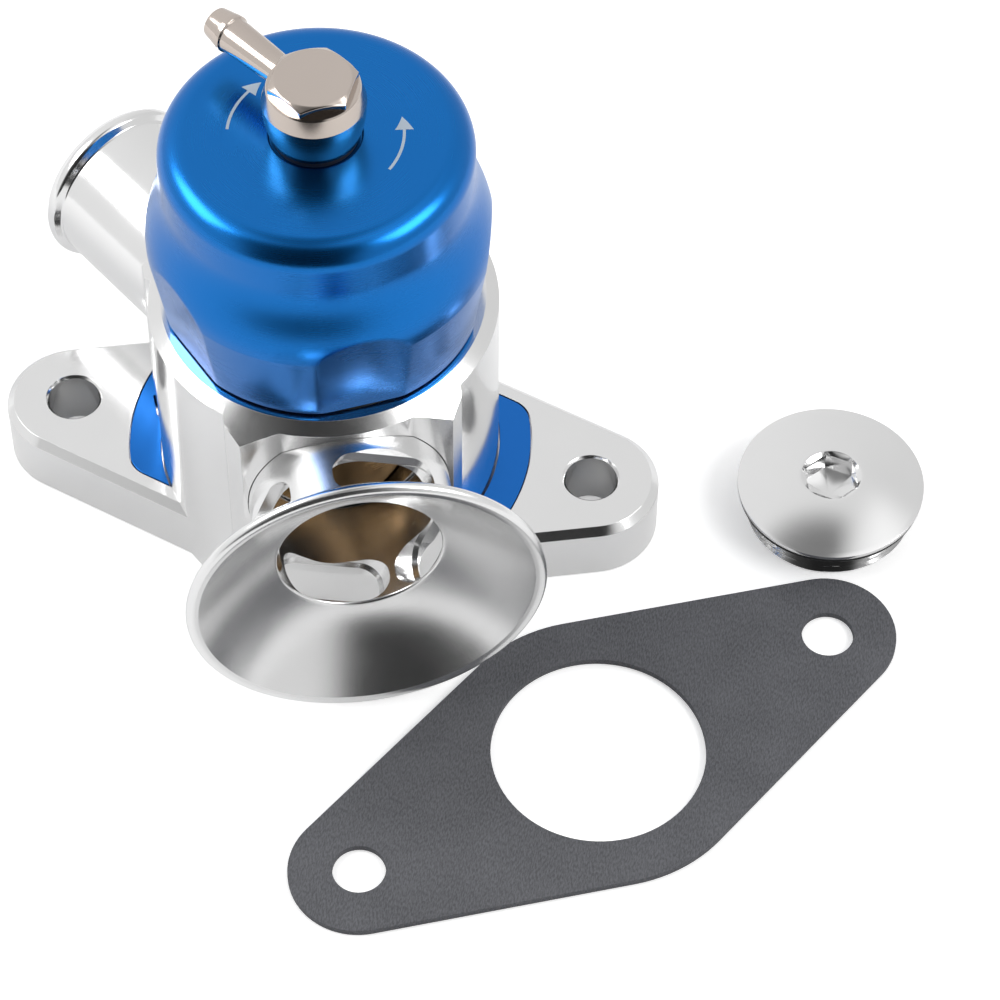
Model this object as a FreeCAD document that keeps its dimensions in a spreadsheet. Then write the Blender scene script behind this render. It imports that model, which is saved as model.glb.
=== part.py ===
# Blow-off valve with a two-bolt flange, a front trumpet, a rear recirculation spigot and a
# screw-down spring cap, with its flange gasket and blanking plug lying loose beside it.
# Frame: +Z up along the valve axis, X along the bolt line, origin on the flange underside.
# All lengths are millimetres and all angles degrees.
import FreeCAD, Part
import Sketcher
import math
import os

Vector = FreeCAD.Vector
Rotation = FreeCAD.Rotation
Placement = FreeCAD.Placement

doc = FreeCAD.newDocument("BlowOffValve")
sheet = doc.addObject("Spreadsheet::Sheet", "Sizes")


# Driving sizes

SIZES = {
    # Flange
    "bolt_offset": 43.3,
    "bolt_hole_radius": 4.25,
    "flange_thickness": 10.9,
    "flange_middle_radius": 24.66,
    "flange_end_radius": 11.06,
    "flange_edge_chamfer": 1.2,
    "hole_edge_chamfer": 0.4,
    # Inlay plates in the flange top
    "inlay_reach": 33.0,
    "inlay_half_width": 21.5,
    "inlay_corner_radius": 5.0,
    "inlay_thickness": 1.8,
    "inlay_gap": 0.2,
    # Body tower
    "body_radius": 27.5,
    "body_height": 47.8,
    "shoulder_width": 2.0,
    "shoulder_slope": 35.0,
    "boss_face_setback": 2.0,
    "boss_half_width": 16.5,
    "boss_corner_cut": 1.9,
    "boss_corner_drop": 3.5,
    "flat_azimuth": -124.5,
    "flat_setback": 0.8,
    "flat_reach": 10.23,
    # Neck, bore and inlet
    "neck_radius": 22.0,
    "neck_height": 16.0,
    "neck_chamfer": 0.8,
    "neck_root": 2.0,
    "bore_radius": 18.0,
    "inlet_radius": 15.5,
    "inlet_chamfer": 0.8,
    "seat_height": 9.0,
    # Front port
    "front_azimuth": -69.8,
    "front_height": 29.5,
    "port_thread_radius": 14.0,
    "port_thread_land": 0.5,
    "port_passage_radius": 12.6,
    "port_recess_depth": 2.2,
    "port_recess_clearance": 0.1,
    # Rear port
    "rear_azimuth": 141.8,
    "rear_height": 26.7,
    "rear_socket_land": 1.0,
    "rear_recess_depth": 1.6,
    # Piston
    "piston_clearance": 0.25,
    "piston_length": 40.0,
    "piston_wall": 2.2,
    "piston_floor": 4.0,
    "piston_nose_chamfer": 0.6,
    "ring_clearance": 0.06,
    "ring_width": 1.6,
    "ring_depth": 1.3,
    "ring_top_margin": 0.9,
    "ring_land": 1.0,
    "face_seal_width": 1.4,
    "face_seal_thickness": 1.3,
    "face_seal_proud": 0.3,
    # Spring
    "spring_radius": 12.4,
    "spring_wire": 2.0,
    "spring_coils": 6.0,
    "spring_guide_gap": 0.5,
    "spring_guide_height": 3.0,
    # Spring seat and thrust washer
    "seat_disc_thickness": 3.0,
    "seat_clearance": 0.1,
    "seat_skirt_wall": 3.2,
    "seat_skirt_length": 8.0,
    "seat_vent_radius": 5.5,
    "thrust_washer_clearance": 1.0,
    "thrust_washer_thickness": 0.8,
    # Adjuster cap
    "cap_seal_width": 2.3,
    "cap_seal_thickness": 0.9,
    "cap_base_radius": 24.7,
    "cap_skirt_radius": 26.75,
    "cap_taper_height": 14.0,
    "cap_band_height": 0.8,
    "cap_shoulder_curve": 15.0,
    "cap_lid_radius": 23.9,
    "cap_edge_radius": 5.4,
    "cap_height": 36.1,
    "cap_roof": 6.0,
    "cap_thread_clearance": 0.1,
    "cap_thread_depth": 17.5,
    "cap_cavity_radius": 19.8,
    "cap_facets": 5,
    "cap_facet_depth": 1.0,
    "cap_facet_azimuth": -63.0,
    "spot_face_radius": 7.5,
    "spot_face_depth": 0.6,
    # Hose fitting
    "fitting_base_radius": 7.24,
    "fitting_rim_radius": 7.85,
    "fitting_rim_height": 7.0,
    "fitting_shoulder_radius": 7.0,
    "fitting_shoulder_height": 10.0,
    "fitting_flats": 12.0,
    "fitting_hex_height": 1.7,
    "fitting_bevel_radius": 5.77,
    "fitting_bevel_drop": 0.8,
    "fitting_thread_radius": 4.8,
    "fitting_thread_length": 5.0,
    "fitting_bore_radius": 2.0,
    "fitting_thread_clearance": 0.1,
    "fitting_washer_radius": 6.8,
    "fitting_washer_thickness": 0.9,
    "fitting_washer_clearance": 0.1,
    "barb_azimuth": 146.2,
    "barb_height": 7.75,
    "barb_shank_radius": 2.4,
    "barb_shank_end_radius": 2.8,
    "barb_bore_radius": 1.5,
    "barb_reach": 21.3,
    "barb_socket_depth": 3.5,
    "barb_ridge_radius": 3.05,
    "barb_ridge_length": 3.9,
    "barb_tip_radius": 2.5,
    # Trumpet
    "trumpet_thread_clearance": 0.1,
    "trumpet_end_gap": 0.2,
    "trumpet_wall": 2.9,
    "trumpet_reach": 46.66,
    "trumpet_rim_radius": 27.94,
    "trumpet_bead": 1.9,
    "trumpet_skin": 1.5,
    "trumpet_collar_radius": 15.8,
    "trumpet_neck_length": 10.4,
    "trumpet_neck_blend": 0.6,
    "trumpet_flare_radius": 8.0,
    "trumpet_flare_angle": 62.0,
    "slot_start": 4.3,
    "slot_length": 7.5,
    "slot_width": 17.5,
    "slot_corner": 2.6,
    "slot_count": 4,
    "slot_turn": -20.0,
    "trumpet_seal_width": 1.5,
    "trumpet_seal_thickness": 1.0,
    "port_seal_clearance": 0.1,
    # Recirculation spigot
    "spigot_radius": 13.1,
    "spigot_wall": 2.0,
    "spigot_reach": 57.0,
    "spigot_bead_radius": 14.35,
    "spigot_bead_width": 3.8,
    "spigot_bead_start": 2.28,
    "spigot_bead_end": 1.33,
    "spigot_mouth_step": 0.3,
    "spigot_end_gap": 0.1,
    "spigot_seal_width": 1.5,
    "spigot_seal_gap": 0.2,
    # Loose gasket
    "gasket_thickness": 1.2,
    "gasket_bore_radius": 17.0,
    "gasket_hole_radius": 4.15,
    "gasket_x": 52.8,
    "gasket_y": -45.2,
    "gasket_turn": 41.7,
    # Loose blanking plug
    "plug_x": 81.5,
    "plug_y": 10.1,
    "plug_turn": 48.0,
    "plug_rim_radius": 15.27,
    "plug_rim_height": 1.0,
    "plug_dome_height": 2.4,
    "plug_thread_length": 5.4,
    "plug_thread_chamfer": 0.5,
    "plug_socket_flats": 8.0,
    "plug_socket_depth": 4.6,
    "plug_socket_chamfer": 0.35,
    "plug_point_depth": 1.4,
    "plug_seal_width": 1.1,
    "plug_seal_setback": 0.2,
    "plug_seal_thickness": 0.8,
    # Room that cutting tools take past the metal
    "tool_reach": 60.0,
    "tool_margin": 1.0,
}

for row, (alias, number) in enumerate(SIZES.items(), start=1):
    sheet.set("A%d" % row, alias.replace("_", " "))
    sheet.set("B%d" % row, str(number))
    sheet.setAlias("B%d" % row, alias)
doc.recompute()


class Size:
    """A length or angle that keeps both its number and the sheet expression behind it."""

    def __init__(self, value, text):
        self.value = value
        self.text = text

    def __add__(self, other):
        other = as_size(other)
        return Size(self.value + other.value, "(%s + %s)" % (self.text, other.text))

    def __radd__(self, other):
        return as_size(other) + self

    def __sub__(self, other):
        other = as_size(other)
        return Size(self.value - other.value, "(%s - %s)" % (self.text, other.text))

    def __rsub__(self, other):
        return as_size(other) - self

    def __mul__(self, other):
        other = as_size(other)
        return Size(self.value * other.value, "(%s * %s)" % (self.text, other.text))

    def __rmul__(self, other):
        return as_size(other) * self

    def __truediv__(self, other):
        other = as_size(other)
        return Size(self.value / other.value, "(%s / %s)" % (self.text, other.text))

    def __neg__(self):
        return Size(-self.value, "(0 - %s)" % self.text)


def as_size(item):
    if isinstance(item, Size):
        return item
    return Size(float(item), "%.6g" % item)


def size(alias):
    return Size(float(sheet.get(alias)), "Sizes." + alias)


def sine(angle):
    angle = as_size(angle)
    return Size(math.sin(math.radians(angle.value)), "sin(%s)" % angle.text)


def cosine(angle):
    angle = as_size(angle)
    return Size(math.cos(math.radians(angle.value)), "cos(%s)" % angle.text)


def tangent(angle):
    angle = as_size(angle)
    return Size(math.tan(math.radians(angle.value)), "tan(%s)" % angle.text)


def root(item):
    return Size(math.sqrt(item.value), "sqrt(%s)" % item.text)


def arcsine(item):
    return Size(math.degrees(math.asin(item.value)), "(asin(%s) / 1 deg)" % item.text)


# Sketch and feature helpers

class Corner:
    """One corner of an outline; curve is the radius of the arc that leads to the next corner.

    A positive curve turns left on the way to the next corner, a negative one turns right.
    """

    def __init__(self, x, y, curve=None):
        self.x = as_size(x)
        self.y = as_size(y)
        self.curve = as_size(curve) if curve is not None else None

    def point(self):
        return Vector(self.x.value, self.y.value, 0)


def arc_between(start, end, radius):
    chord = end - start
    half = chord.Length / 2
    reach = abs(radius)
    rise = reach - math.sqrt(max(0, reach * reach - half * half))
    side = Vector(chord.y, -chord.x, 0).normalize()
    if radius < 0:
        side = side * -1
    return Part.Arc(start, start + chord * 0.5 + side * rise, end)


def pin_point(sketch, piece, end, corner):
    """Hold one end of a sketch line at a corner whose place follows the sheet."""
    for kind, axis, item in (("DistanceX", -2, corner.x), ("DistanceY", -1, corner.y)):
        if abs(item.value) < 1e-9:
            sketch.addConstraint(Sketcher.Constraint("PointOnObject", piece, end, axis))
        else:
            index = sketch.addConstraint(Sketcher.Constraint(kind, -1, 1, piece, end, item.value))
            sketch.setExpression("Constraints[%d]" % index, item.text)


def draw_outline(sketch, corners):
    """Draw a closed outline of lines and arcs and bind every corner to the sheet."""
    ends = []
    for number, corner in enumerate(corners):
        following = corners[(number + 1) % len(corners)]
        start = corner.point()
        finish = following.point()
        if corner.curve is None:
            piece = sketch.addGeometry(Part.LineSegment(start, finish))
        else:
            piece = sketch.addGeometry(arc_between(start, finish, corner.curve.value))
            index = sketch.addConstraint(Sketcher.Constraint("Radius", piece, abs(corner.curve.value)))
            sketch.setExpression("Constraints[%d]" % index, "abs(%s)" % corner.curve.text)
        forward = sketch.Geometry[piece].StartPoint.distanceToPoint(start) < 1e-6
        ends.append((piece, 1 if forward else 2, 2 if forward else 1))
    for number, corner in enumerate(corners):
        piece, first, last = ends[number]
        next_piece, next_first, next_last = ends[(number + 1) % len(ends)]
        sketch.addConstraint(Sketcher.Constraint("Coincident", piece, last, next_piece, next_first))
    for number, corner in enumerate(corners):
        pin_point(sketch, ends[number][0], ends[number][1], corner)


def draw_circle(sketch, x, y, radius):
    x = as_size(x)
    y = as_size(y)
    radius = as_size(radius)
    circle = Part.Circle(Vector(x.value, y.value, 0), Vector(0, 0, 1), radius.value)
    piece = sketch.addGeometry(circle)
    index = sketch.addConstraint(Sketcher.Constraint("Radius", piece, radius.value))
    sketch.setExpression("Constraints[%d]" % index, radius.text)
    pin_point(sketch, piece, 3, Corner(x, y))


def new_body(name):
    body = doc.addObject("PartDesign::Body", name)
    body.Label = name
    return body


def origin_item(body, role):
    for feature in body.Origin.OriginFeatures:
        if feature.Role == role:
            return feature
    raise ValueError(role)


def sketch_on(body, name, plane, lift=0, turn=0):
    """A sketch on an origin plane, lifted along its normal and turned about it."""
    lift = as_size(lift)
    turn = as_size(turn)
    sketch = body.newObject("Sketcher::SketchObject", name)
    sketch.AttachmentSupport = [(origin_item(body, plane), "")]
    sketch.MapMode = "FlatFace"
    sketch.AttachmentOffset = Placement(Vector(0, 0, lift.value), Rotation(Vector(0, 0, 1), turn.value))
    sketch.setExpression("AttachmentOffset.Base.z", lift.text)
    sketch.setExpression("AttachmentOffset.Rotation.Angle", turn.text)
    return sketch


def outline_on(body, name, plane, corners, lift=0, turn=0):
    sketch = sketch_on(body, name, plane, lift, turn)
    draw_outline(sketch, corners)
    return sketch


def pad(body, name, sketch, length):
    feature = body.newObject("PartDesign::Pad", name)
    feature.Profile = sketch
    feature.Length = as_size(length).value
    feature.setExpression("Length", as_size(length).text)
    doc.recompute()
    return feature


def pocket(body, name, sketch, length, reverse=False, both_ways=False):
    feature = body.newObject("PartDesign::Pocket", name)
    feature.Profile = sketch
    feature.Reversed = reverse
    feature.Midplane = both_ways
    feature.Length = as_size(length).value
    feature.setExpression("Length", as_size(length).text)
    must_cut(body, feature)
    return feature


def must_cut(body, feature):
    """Recompute and make sure that the cut took something away."""
    before = feature.BaseFeature.Shape.Volume
    doc.recompute()
    if not feature.Shape.Volume < before - 1e-6:
        raise ValueError("%s: %s cuts nothing" % (body.Label, feature.Name))


def turned(body, name, corners, plane="XZ_Plane"):
    """Turn an outline of (radius, height) corners about the body's Z axis."""
    sketch = outline_on(body, name + "Profile", plane, corners)
    feature = body.newObject("PartDesign::Revolution", name)
    feature.Profile = sketch
    feature.ReferenceAxis = (sketch, ["V_Axis"])
    feature.Angle = 360
    doc.recompute()
    return feature


def groove(body, name, sketch, axis):
    feature = body.newObject("PartDesign::Groove", name)
    feature.Profile = sketch
    feature.ReferenceAxis = (sketch, [axis])
    feature.Angle = 360
    must_cut(body, feature)
    return feature


def around_axis(body, name, original, count):
    """Repeat a feature evenly about the body's Z axis."""
    pattern = body.newObject("PartDesign::PolarPattern", name)
    pattern.Originals = [original]
    pattern.Axis = (origin_item(body, "Z_Axis"), [""])
    pattern.Angle = 360
    pattern.Occurrences = int(count.value)
    pattern.setExpression("Occurrences", count.text)
    body.Tip = pattern
    doc.recompute()
    return pattern


def edges_where(feature, test):
    return ["Edge%d" % (number + 1) for number, edge in enumerate(feature.Shape.Edges) if test(edge)]


def chamfer(body, name, base, edge_names, amount):
    feature = body.newObject("PartDesign::Chamfer", name)
    feature.Base = (base, edge_names)
    feature.Size = as_size(amount).value
    feature.setExpression("Size", as_size(amount).text)
    doc.recompute()
    return feature


def at_height(edge, height):
    box = edge.BoundBox
    return abs(box.ZMin - height) < 1e-4 and abs(box.ZMax - height) < 1e-4


def place(body, x=0, y=0, z=0, rotation=None):
    """Put a finished body at a place that follows the sheet."""
    x = as_size(x)
    y = as_size(y)
    z = as_size(z)
    body.Placement = Placement(Vector(x.value, y.value, z.value), rotation or Rotation())
    for axis, item in (("x", x), ("y", y), ("z", z)):
        body.setExpression("Placement.Base." + axis, item.text)


def outward(azimuth):
    """The turn that lays a part's own +Z axis level, pointing out along an azimuth."""
    return Rotation(Vector(0, 0, 1), azimuth.value) * Rotation(Vector(0, 1, 0), 90)


def hexagon(flats, turn=0):
    """The six corners of a hexagon with one corner at the given angle."""
    reach = flats / 2 / cosine(30)
    return [Corner(reach * cosine(turn + 60 * step), reach * sine(turn + 60 * step)) for step in range(6)]


def ring(name, inner, outer, bottom, thickness):
    """A flat ring about its own Z axis."""
    body = new_body(name)
    turned(body, name + "Ring", [
        Corner(inner, bottom),
        Corner(outer, bottom),
        Corner(outer, bottom + thickness),
        Corner(inner, bottom + thickness),
    ])
    return body


# Sizes that several pieces share

body_height = size("body_height")
neck_top = body_height + size("neck_height")
tower_radius = size("body_radius")
face_distance = tower_radius - size("boss_face_setback")
flat_distance = tower_radius - size("flat_setback")
port_thread_depth = face_distance - size("bore_radius") - size("port_thread_land")
rear_socket_depth = face_distance - size("bore_radius") - size("rear_socket_land")
seat_height = size("seat_height")
cap_bottom = body_height + size("cap_seal_thickness")
cap_top = cap_bottom + size("cap_height")
cap_ceiling = cap_top - size("cap_roof")
piston_radius = size("bore_radius") - size("piston_clearance")
piston_bottom = seat_height + size("face_seal_proud")
piston_top = piston_bottom + size("piston_length")
piston_floor_top = piston_bottom + size("piston_floor")
seat_top = cap_ceiling - size("thrust_washer_thickness")
seat_underside = seat_top - size("seat_disc_thickness")
recess_radius = size("trumpet_collar_radius") + size("port_recess_clearance")
far = size("tool_reach")
margin = size("tool_margin")


def flange_outline():
    """The flange's outline: a middle circle and two end circles joined by tangent lines."""
    middle = size("flange_middle_radius")
    end = size("flange_end_radius")
    offset = size("bolt_offset")
    lean = arcsine((middle - end) / offset)
    near_x = middle * sine(lean)
    near_y = middle * cosine(lean)
    far_x = offset + end * sine(lean)
    far_y = end * cosine(lean)
    return [
        Corner(far_x, -far_y, end),
        Corner(far_x, far_y),
        Corner(near_x, near_y, middle),
        Corner(-near_x, near_y),
        Corner(-far_x, far_y, end),
        Corner(-far_x, -far_y),
        Corner(-near_x, -near_y, middle),
        Corner(near_x, -near_y),
    ]


def inlay_outline(gap):
    """The outline that bounds both inlay plates: a circle clipped along the flange's sides."""
    reach = size("inlay_reach") - gap
    half_width = size("inlay_half_width") - gap
    lean = arcsine((size("flange_middle_radius") - size("flange_end_radius")) / size("bolt_offset"))
    rounding = size("inlay_corner_radius")
    # Centre of the corner arc: inside the circle and inside the clipping line by its radius.
    inner_reach = reach - rounding
    inner_width = half_width - rounding
    along = root(inner_reach * inner_reach - inner_width * inner_width)
    centre_x = inner_width * sine(lean) + along * cosine(lean)
    centre_y = inner_width * cosine(lean) - along * sine(lean)
    circle_x = centre_x * reach / inner_reach
    circle_y = centre_y * reach / inner_reach
    line_x = centre_x + rounding * sine(lean)
    line_y = centre_y + rounding * cosine(lean)
    peak = half_width / cosine(lean)
    return [
        Corner(line_x, -line_y, rounding),
        Corner(circle_x, -circle_y, reach),
        Corner(circle_x, circle_y, rounding),
        Corner(line_x, line_y),
        Corner(0, peak),
        Corner(-line_x, line_y, rounding),
        Corner(-circle_x, circle_y, reach),
        Corner(-circle_x, -circle_y, rounding),
        Corner(-line_x, -line_y),
        Corner(0, -peak),
    ]


def boss_outline(growth):
    """A port boss seen from above, its face towards the sketch's +X."""
    reach = face_distance + growth
    half = size("boss_half_width") + growth
    outer = half + size("boss_corner_cut")
    back = reach - size("boss_corner_drop")
    return [
        Corner(0, -outer),
        Corner(back, -outer),
        Corner(reach, -half),
        Corner(reach, half),
        Corner(back, outer),
        Corner(0, outer),
    ]


def flat_outline(growth):
    """The diagonal flank beside the front boss, facing the sketch's +X."""
    reach = flat_distance + growth
    across = root(tower_radius * tower_radius - flat_distance * flat_distance)
    return [
        Corner(0, -across),
        Corner(reach, -across),
        Corner(reach, size("flat_reach")),
        Corner(0, size("flat_reach")),
    ]


def port_profile(thread_radius, thread_depth, recess_depth, passage_radius, seal_radius):
    """Half profile of a port, along the sketch's +X from the valve axis out past its face."""
    return [
        Corner(0, 0),
        Corner(0, passage_radius),
        Corner(face_distance - thread_depth, passage_radius),
        Corner(face_distance - thread_depth, thread_radius),
        Corner(face_distance - recess_depth, thread_radius),
        Corner(face_distance - recess_depth, seal_radius),
        Corner(far, seal_radius),
        Corner(far, 0),
    ]


def tower_pads(body, length, growth):
    """Pad the body's plan view: its cylinder, the two port bosses and the diagonal flank."""
    sketch = sketch_on(body, "TowerCircle", "XY_Plane")
    draw_circle(sketch, 0, 0, tower_radius + growth)
    pad(body, "Tower", sketch, length)
    for label, azimuth in (("Front", size("front_azimuth")), ("Rear", size("rear_azimuth"))):
        sketch = outline_on(body, label + "BossOutline", "XY_Plane", boss_outline(growth), 0, azimuth)
        pad(body, label + "Boss", sketch, length)
    sketch = outline_on(body, "FlatOutline", "XY_Plane", flat_outline(growth), 0, size("flat_azimuth"))
    return pad(body, "Flat", sketch, length)


# Body: flange, tower and neck in one billet

def make_valve_body():
    body = new_body("valve_body")
    thickness = size("flange_thickness")
    flange = pad(body, "Flange", outline_on(body, "FlangeOutline", "XY_Plane", flange_outline()), thickness)
    rim = edges_where(flange, lambda edge: at_height(edge, thickness.value))
    chamfer(body, "FlangeEdge", flange, rim, size("flange_edge_chamfer"))

    sketch = outline_on(body, "InlayOutline", "XY_Plane", inlay_outline(as_size(0)), thickness)
    pocket(body, "InlayPocket", sketch, size("inlay_thickness"))
    tower_pads(body, body_height, as_size(0))

    shoulder = tower_radius - size("shoulder_width")
    slope_drop = (far - shoulder) * tangent(size("shoulder_slope"))
    sketch = outline_on(body, "ShoulderProfile", "XZ_Plane", [
        Corner(shoulder, body_height),
        Corner(far, body_height - slope_drop),
        Corner(far, body_height + margin),
        Corner(shoulder, body_height + margin),
    ])
    groove(body, "Shoulder", sketch, "V_Axis")

    neck = size("neck_radius")
    bevel = size("neck_chamfer")
    turned(body, "Neck", [
        Corner(0, body_height - size("neck_root")),
        Corner(neck, body_height - size("neck_root")),
        Corner(neck, neck_top - bevel),
        Corner(neck - bevel, neck_top),
        Corner(0, neck_top),
    ])
    inlet = size("inlet_radius")
    sketch = outline_on(body, "BoreProfile", "XZ_Plane", [
        Corner(0, 0),
        Corner(inlet + size("inlet_chamfer"), 0),
        Corner(inlet, size("inlet_chamfer")),
        Corner(inlet, seat_height),
        Corner(size("bore_radius"), seat_height),
        Corner(size("bore_radius"), neck_top),
        Corner(0, neck_top),
    ])
    groove(body, "Bore", sketch, "V_Axis")

    sketch = outline_on(body, "FrontPortProfile", "XY_Plane", port_profile(
        size("port_thread_radius"), port_thread_depth, size("port_recess_depth"),
        size("port_passage_radius"), recess_radius), size("front_height"), size("front_azimuth"))
    groove(body, "FrontPort", sketch, "H_Axis")
    sketch = outline_on(body, "RearPortProfile", "XY_Plane", port_profile(
        size("spigot_radius"), rear_socket_depth, size("rear_recess_depth"),
        size("spigot_radius") - size("spigot_wall"), size("spigot_radius") + size("spigot_seal_width")),
        size("rear_height"), size("rear_azimuth"))
    groove(body, "RearPort", sketch, "H_Axis")

    sketch = sketch_on(body, "BoltHoles", "XY_Plane", thickness)
    draw_circle(sketch, size("bolt_offset"), 0, size("bolt_hole_radius"))
    draw_circle(sketch, -size("bolt_offset"), 0, size("bolt_hole_radius"))
    holes = pocket(body, "BoltPocket", sketch, thickness)
    hole_radius = size("bolt_hole_radius").value

    def hole_mouth(edge):
        round_edge = hasattr(edge.Curve, "Radius") and abs(edge.Curve.Radius - hole_radius) < 1e-4
        return round_edge and (at_height(edge, thickness.value) or at_height(edge, 0))

    chamfer(body, "HoleEdges", holes, edges_where(holes, hole_mouth), size("hole_edge_chamfer"))


# Inlay plates, one each side of the tower

def make_inlay(name, side):
    body = new_body(name)
    gap = size("inlay_gap")
    floor = size("flange_thickness") - size("inlay_thickness")
    depth = size("inlay_thickness")
    sketch = outline_on(body, "PlateOutline", "XY_Plane", inlay_outline(gap), floor)
    pad(body, "Plate", sketch, depth)

    sketch = sketch_on(body, "TowerHole", "XY_Plane", floor + depth)
    draw_circle(sketch, 0, 0, tower_radius + gap)
    pocket(body, "TowerPocket", sketch, depth)
    for label, azimuth in (("Front", size("front_azimuth")), ("Rear", size("rear_azimuth"))):
        sketch = outline_on(body, label + "Notch", "XY_Plane", boss_outline(gap), floor + depth, azimuth)
        pocket(body, label + "Pocket", sketch, depth)
    far_side = [
        Corner(-far, -far),
        Corner(0, -far),
        Corner(0, far),
        Corner(-far, far),
    ]
    turn = 0 if side == "right" else 180
    sketch = outline_on(body, "FarSide", "XY_Plane", far_side, floor + depth, turn)
    pocket(body, "FarSidePocket", sketch, depth)
    return body


# Piston and its rings

def ring_groove_bottom(number):
    """Height of a ring groove's lower side, counted down from the piston's top."""
    pitch = size("ring_width") + size("ring_land")
    return piston_top - size("ring_top_margin") - size("ring_width") - pitch * number


def make_piston():
    body = new_body("piston")
    inner = piston_radius - size("piston_wall")
    bevel = size("piston_nose_chamfer")
    groove_radius = piston_radius - size("ring_depth") + size("piston_clearance")
    guide = size("spring_radius") - size("spring_wire") / 2 - size("spring_guide_gap")
    corners = [Corner(0, piston_bottom), Corner(piston_radius - bevel, piston_bottom)]
    corners.append(Corner(piston_radius, piston_bottom + bevel))
    for number in (1, 0):
        low = ring_groove_bottom(number)
        corners.append(Corner(piston_radius, low))
        corners.append(Corner(groove_radius, low))
        corners.append(Corner(groove_radius, low + size("ring_width")))
        corners.append(Corner(piston_radius, low + size("ring_width")))
    corners.append(Corner(piston_radius, piston_top))
    corners.append(Corner(inner, piston_top))
    corners.append(Corner(inner, piston_floor_top))
    corners.append(Corner(guide, piston_floor_top))
    corners.append(Corner(guide, piston_floor_top + size("spring_guide_height")))
    corners.append(Corner(0, piston_floor_top + size("spring_guide_height")))
    turned(body, "Cup", corners)

    middle = (size("inlet_radius") + size("bore_radius")) / 2
    half = size("face_seal_width") / 2
    depth = size("face_seal_thickness") - size("face_seal_proud")
    sketch = outline_on(body, "SealGroove", "XZ_Plane", [
        Corner(middle - half, piston_bottom - margin),
        Corner(middle + half, piston_bottom - margin),
        Corner(middle + half, piston_bottom + depth),
        Corner(middle - half, piston_bottom + depth),
    ])
    groove(body, "FaceSealGroove", sketch, "V_Axis")


def make_piston_rings():
    inner = piston_radius - size("ring_depth") + size("piston_clearance")
    outer = size("bore_radius") - size("ring_clearance")
    ring("piston_seal_ring", inner, outer, ring_groove_bottom(0), size("ring_width"))
    ring("piston_guide_band", inner, outer, ring_groove_bottom(1), size("ring_width"))
    middle = (size("inlet_radius") + size("bore_radius")) / 2
    half = size("face_seal_width") / 2
    ring("piston_face_seal", middle - half, middle + half, seat_height, size("face_seal_thickness"))


# Spring: a coil of square wire with ground ends

def make_spring():
    body = new_body("spring")
    wire = size("spring_wire")
    height = seat_underside - piston_floor_top
    pitch = (height - wire / 2) / size("spring_coils")
    inner = size("spring_radius") - wire / 2
    outer = size("spring_radius") + wire / 2
    sketch = outline_on(body, "WireSection", "XZ_Plane", [
        Corner(inner, piston_floor_top - wire / 4),
        Corner(outer, piston_floor_top - wire / 4),
        Corner(outer, piston_floor_top + wire * 3 / 4),
        Corner(inner, piston_floor_top + wire * 3 / 4),
    ])
    coil = body.newObject("PartDesign::AdditiveHelix", "Coil")
    coil.Profile = sketch
    coil.ReferenceAxis = (sketch, ["V_Axis"])
    coil.Mode = 0
    coil.Pitch = pitch.value
    coil.setExpression("Pitch", pitch.text)
    coil.Height = (height - wire / 2).value
    coil.setExpression("Height", (height - wire / 2).text)
    doc.recompute()
    for label, low, high in (("Lower", piston_floor_top - wire, piston_floor_top),
                             ("Upper", seat_underside, seat_underside + wire)):
        sketch = outline_on(body, label + "Grind", "XZ_Plane", [
            Corner(0, low),
            Corner(size("spring_radius") + wire, low),
            Corner(size("spring_radius") + wire, high),
            Corner(0, high),
        ])
        groove(body, label + "Face", sketch, "V_Axis")


# Spring seat and thrust washer under the cap's roof

def make_spring_seat():
    body = new_body("spring_seat")
    outer = size("cap_cavity_radius") - size("seat_clearance")
    guide = size("spring_radius") - size("spring_wire") / 2 - size("spring_guide_gap")
    skirt = outer - size("seat_skirt_wall")
    skirt_bottom = seat_underside - size("seat_skirt_length")
    turned(body, "Seat", [
        Corner(size("seat_vent_radius"), seat_underside - size("spring_guide_height")),
        Corner(guide, seat_underside - size("spring_guide_height")),
        Corner(guide, seat_underside),
        Corner(skirt, seat_underside),
        Corner(skirt, skirt_bottom),
        Corner(outer, skirt_bottom),
        Corner(outer, seat_top),
        Corner(size("seat_vent_radius"), seat_top),
    ])
    ring("thrust_washer", size("seat_vent_radius"), outer - size("thrust_washer_clearance"), seat_top,
         size("thrust_washer_thickness"))


# Adjuster cap

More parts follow.
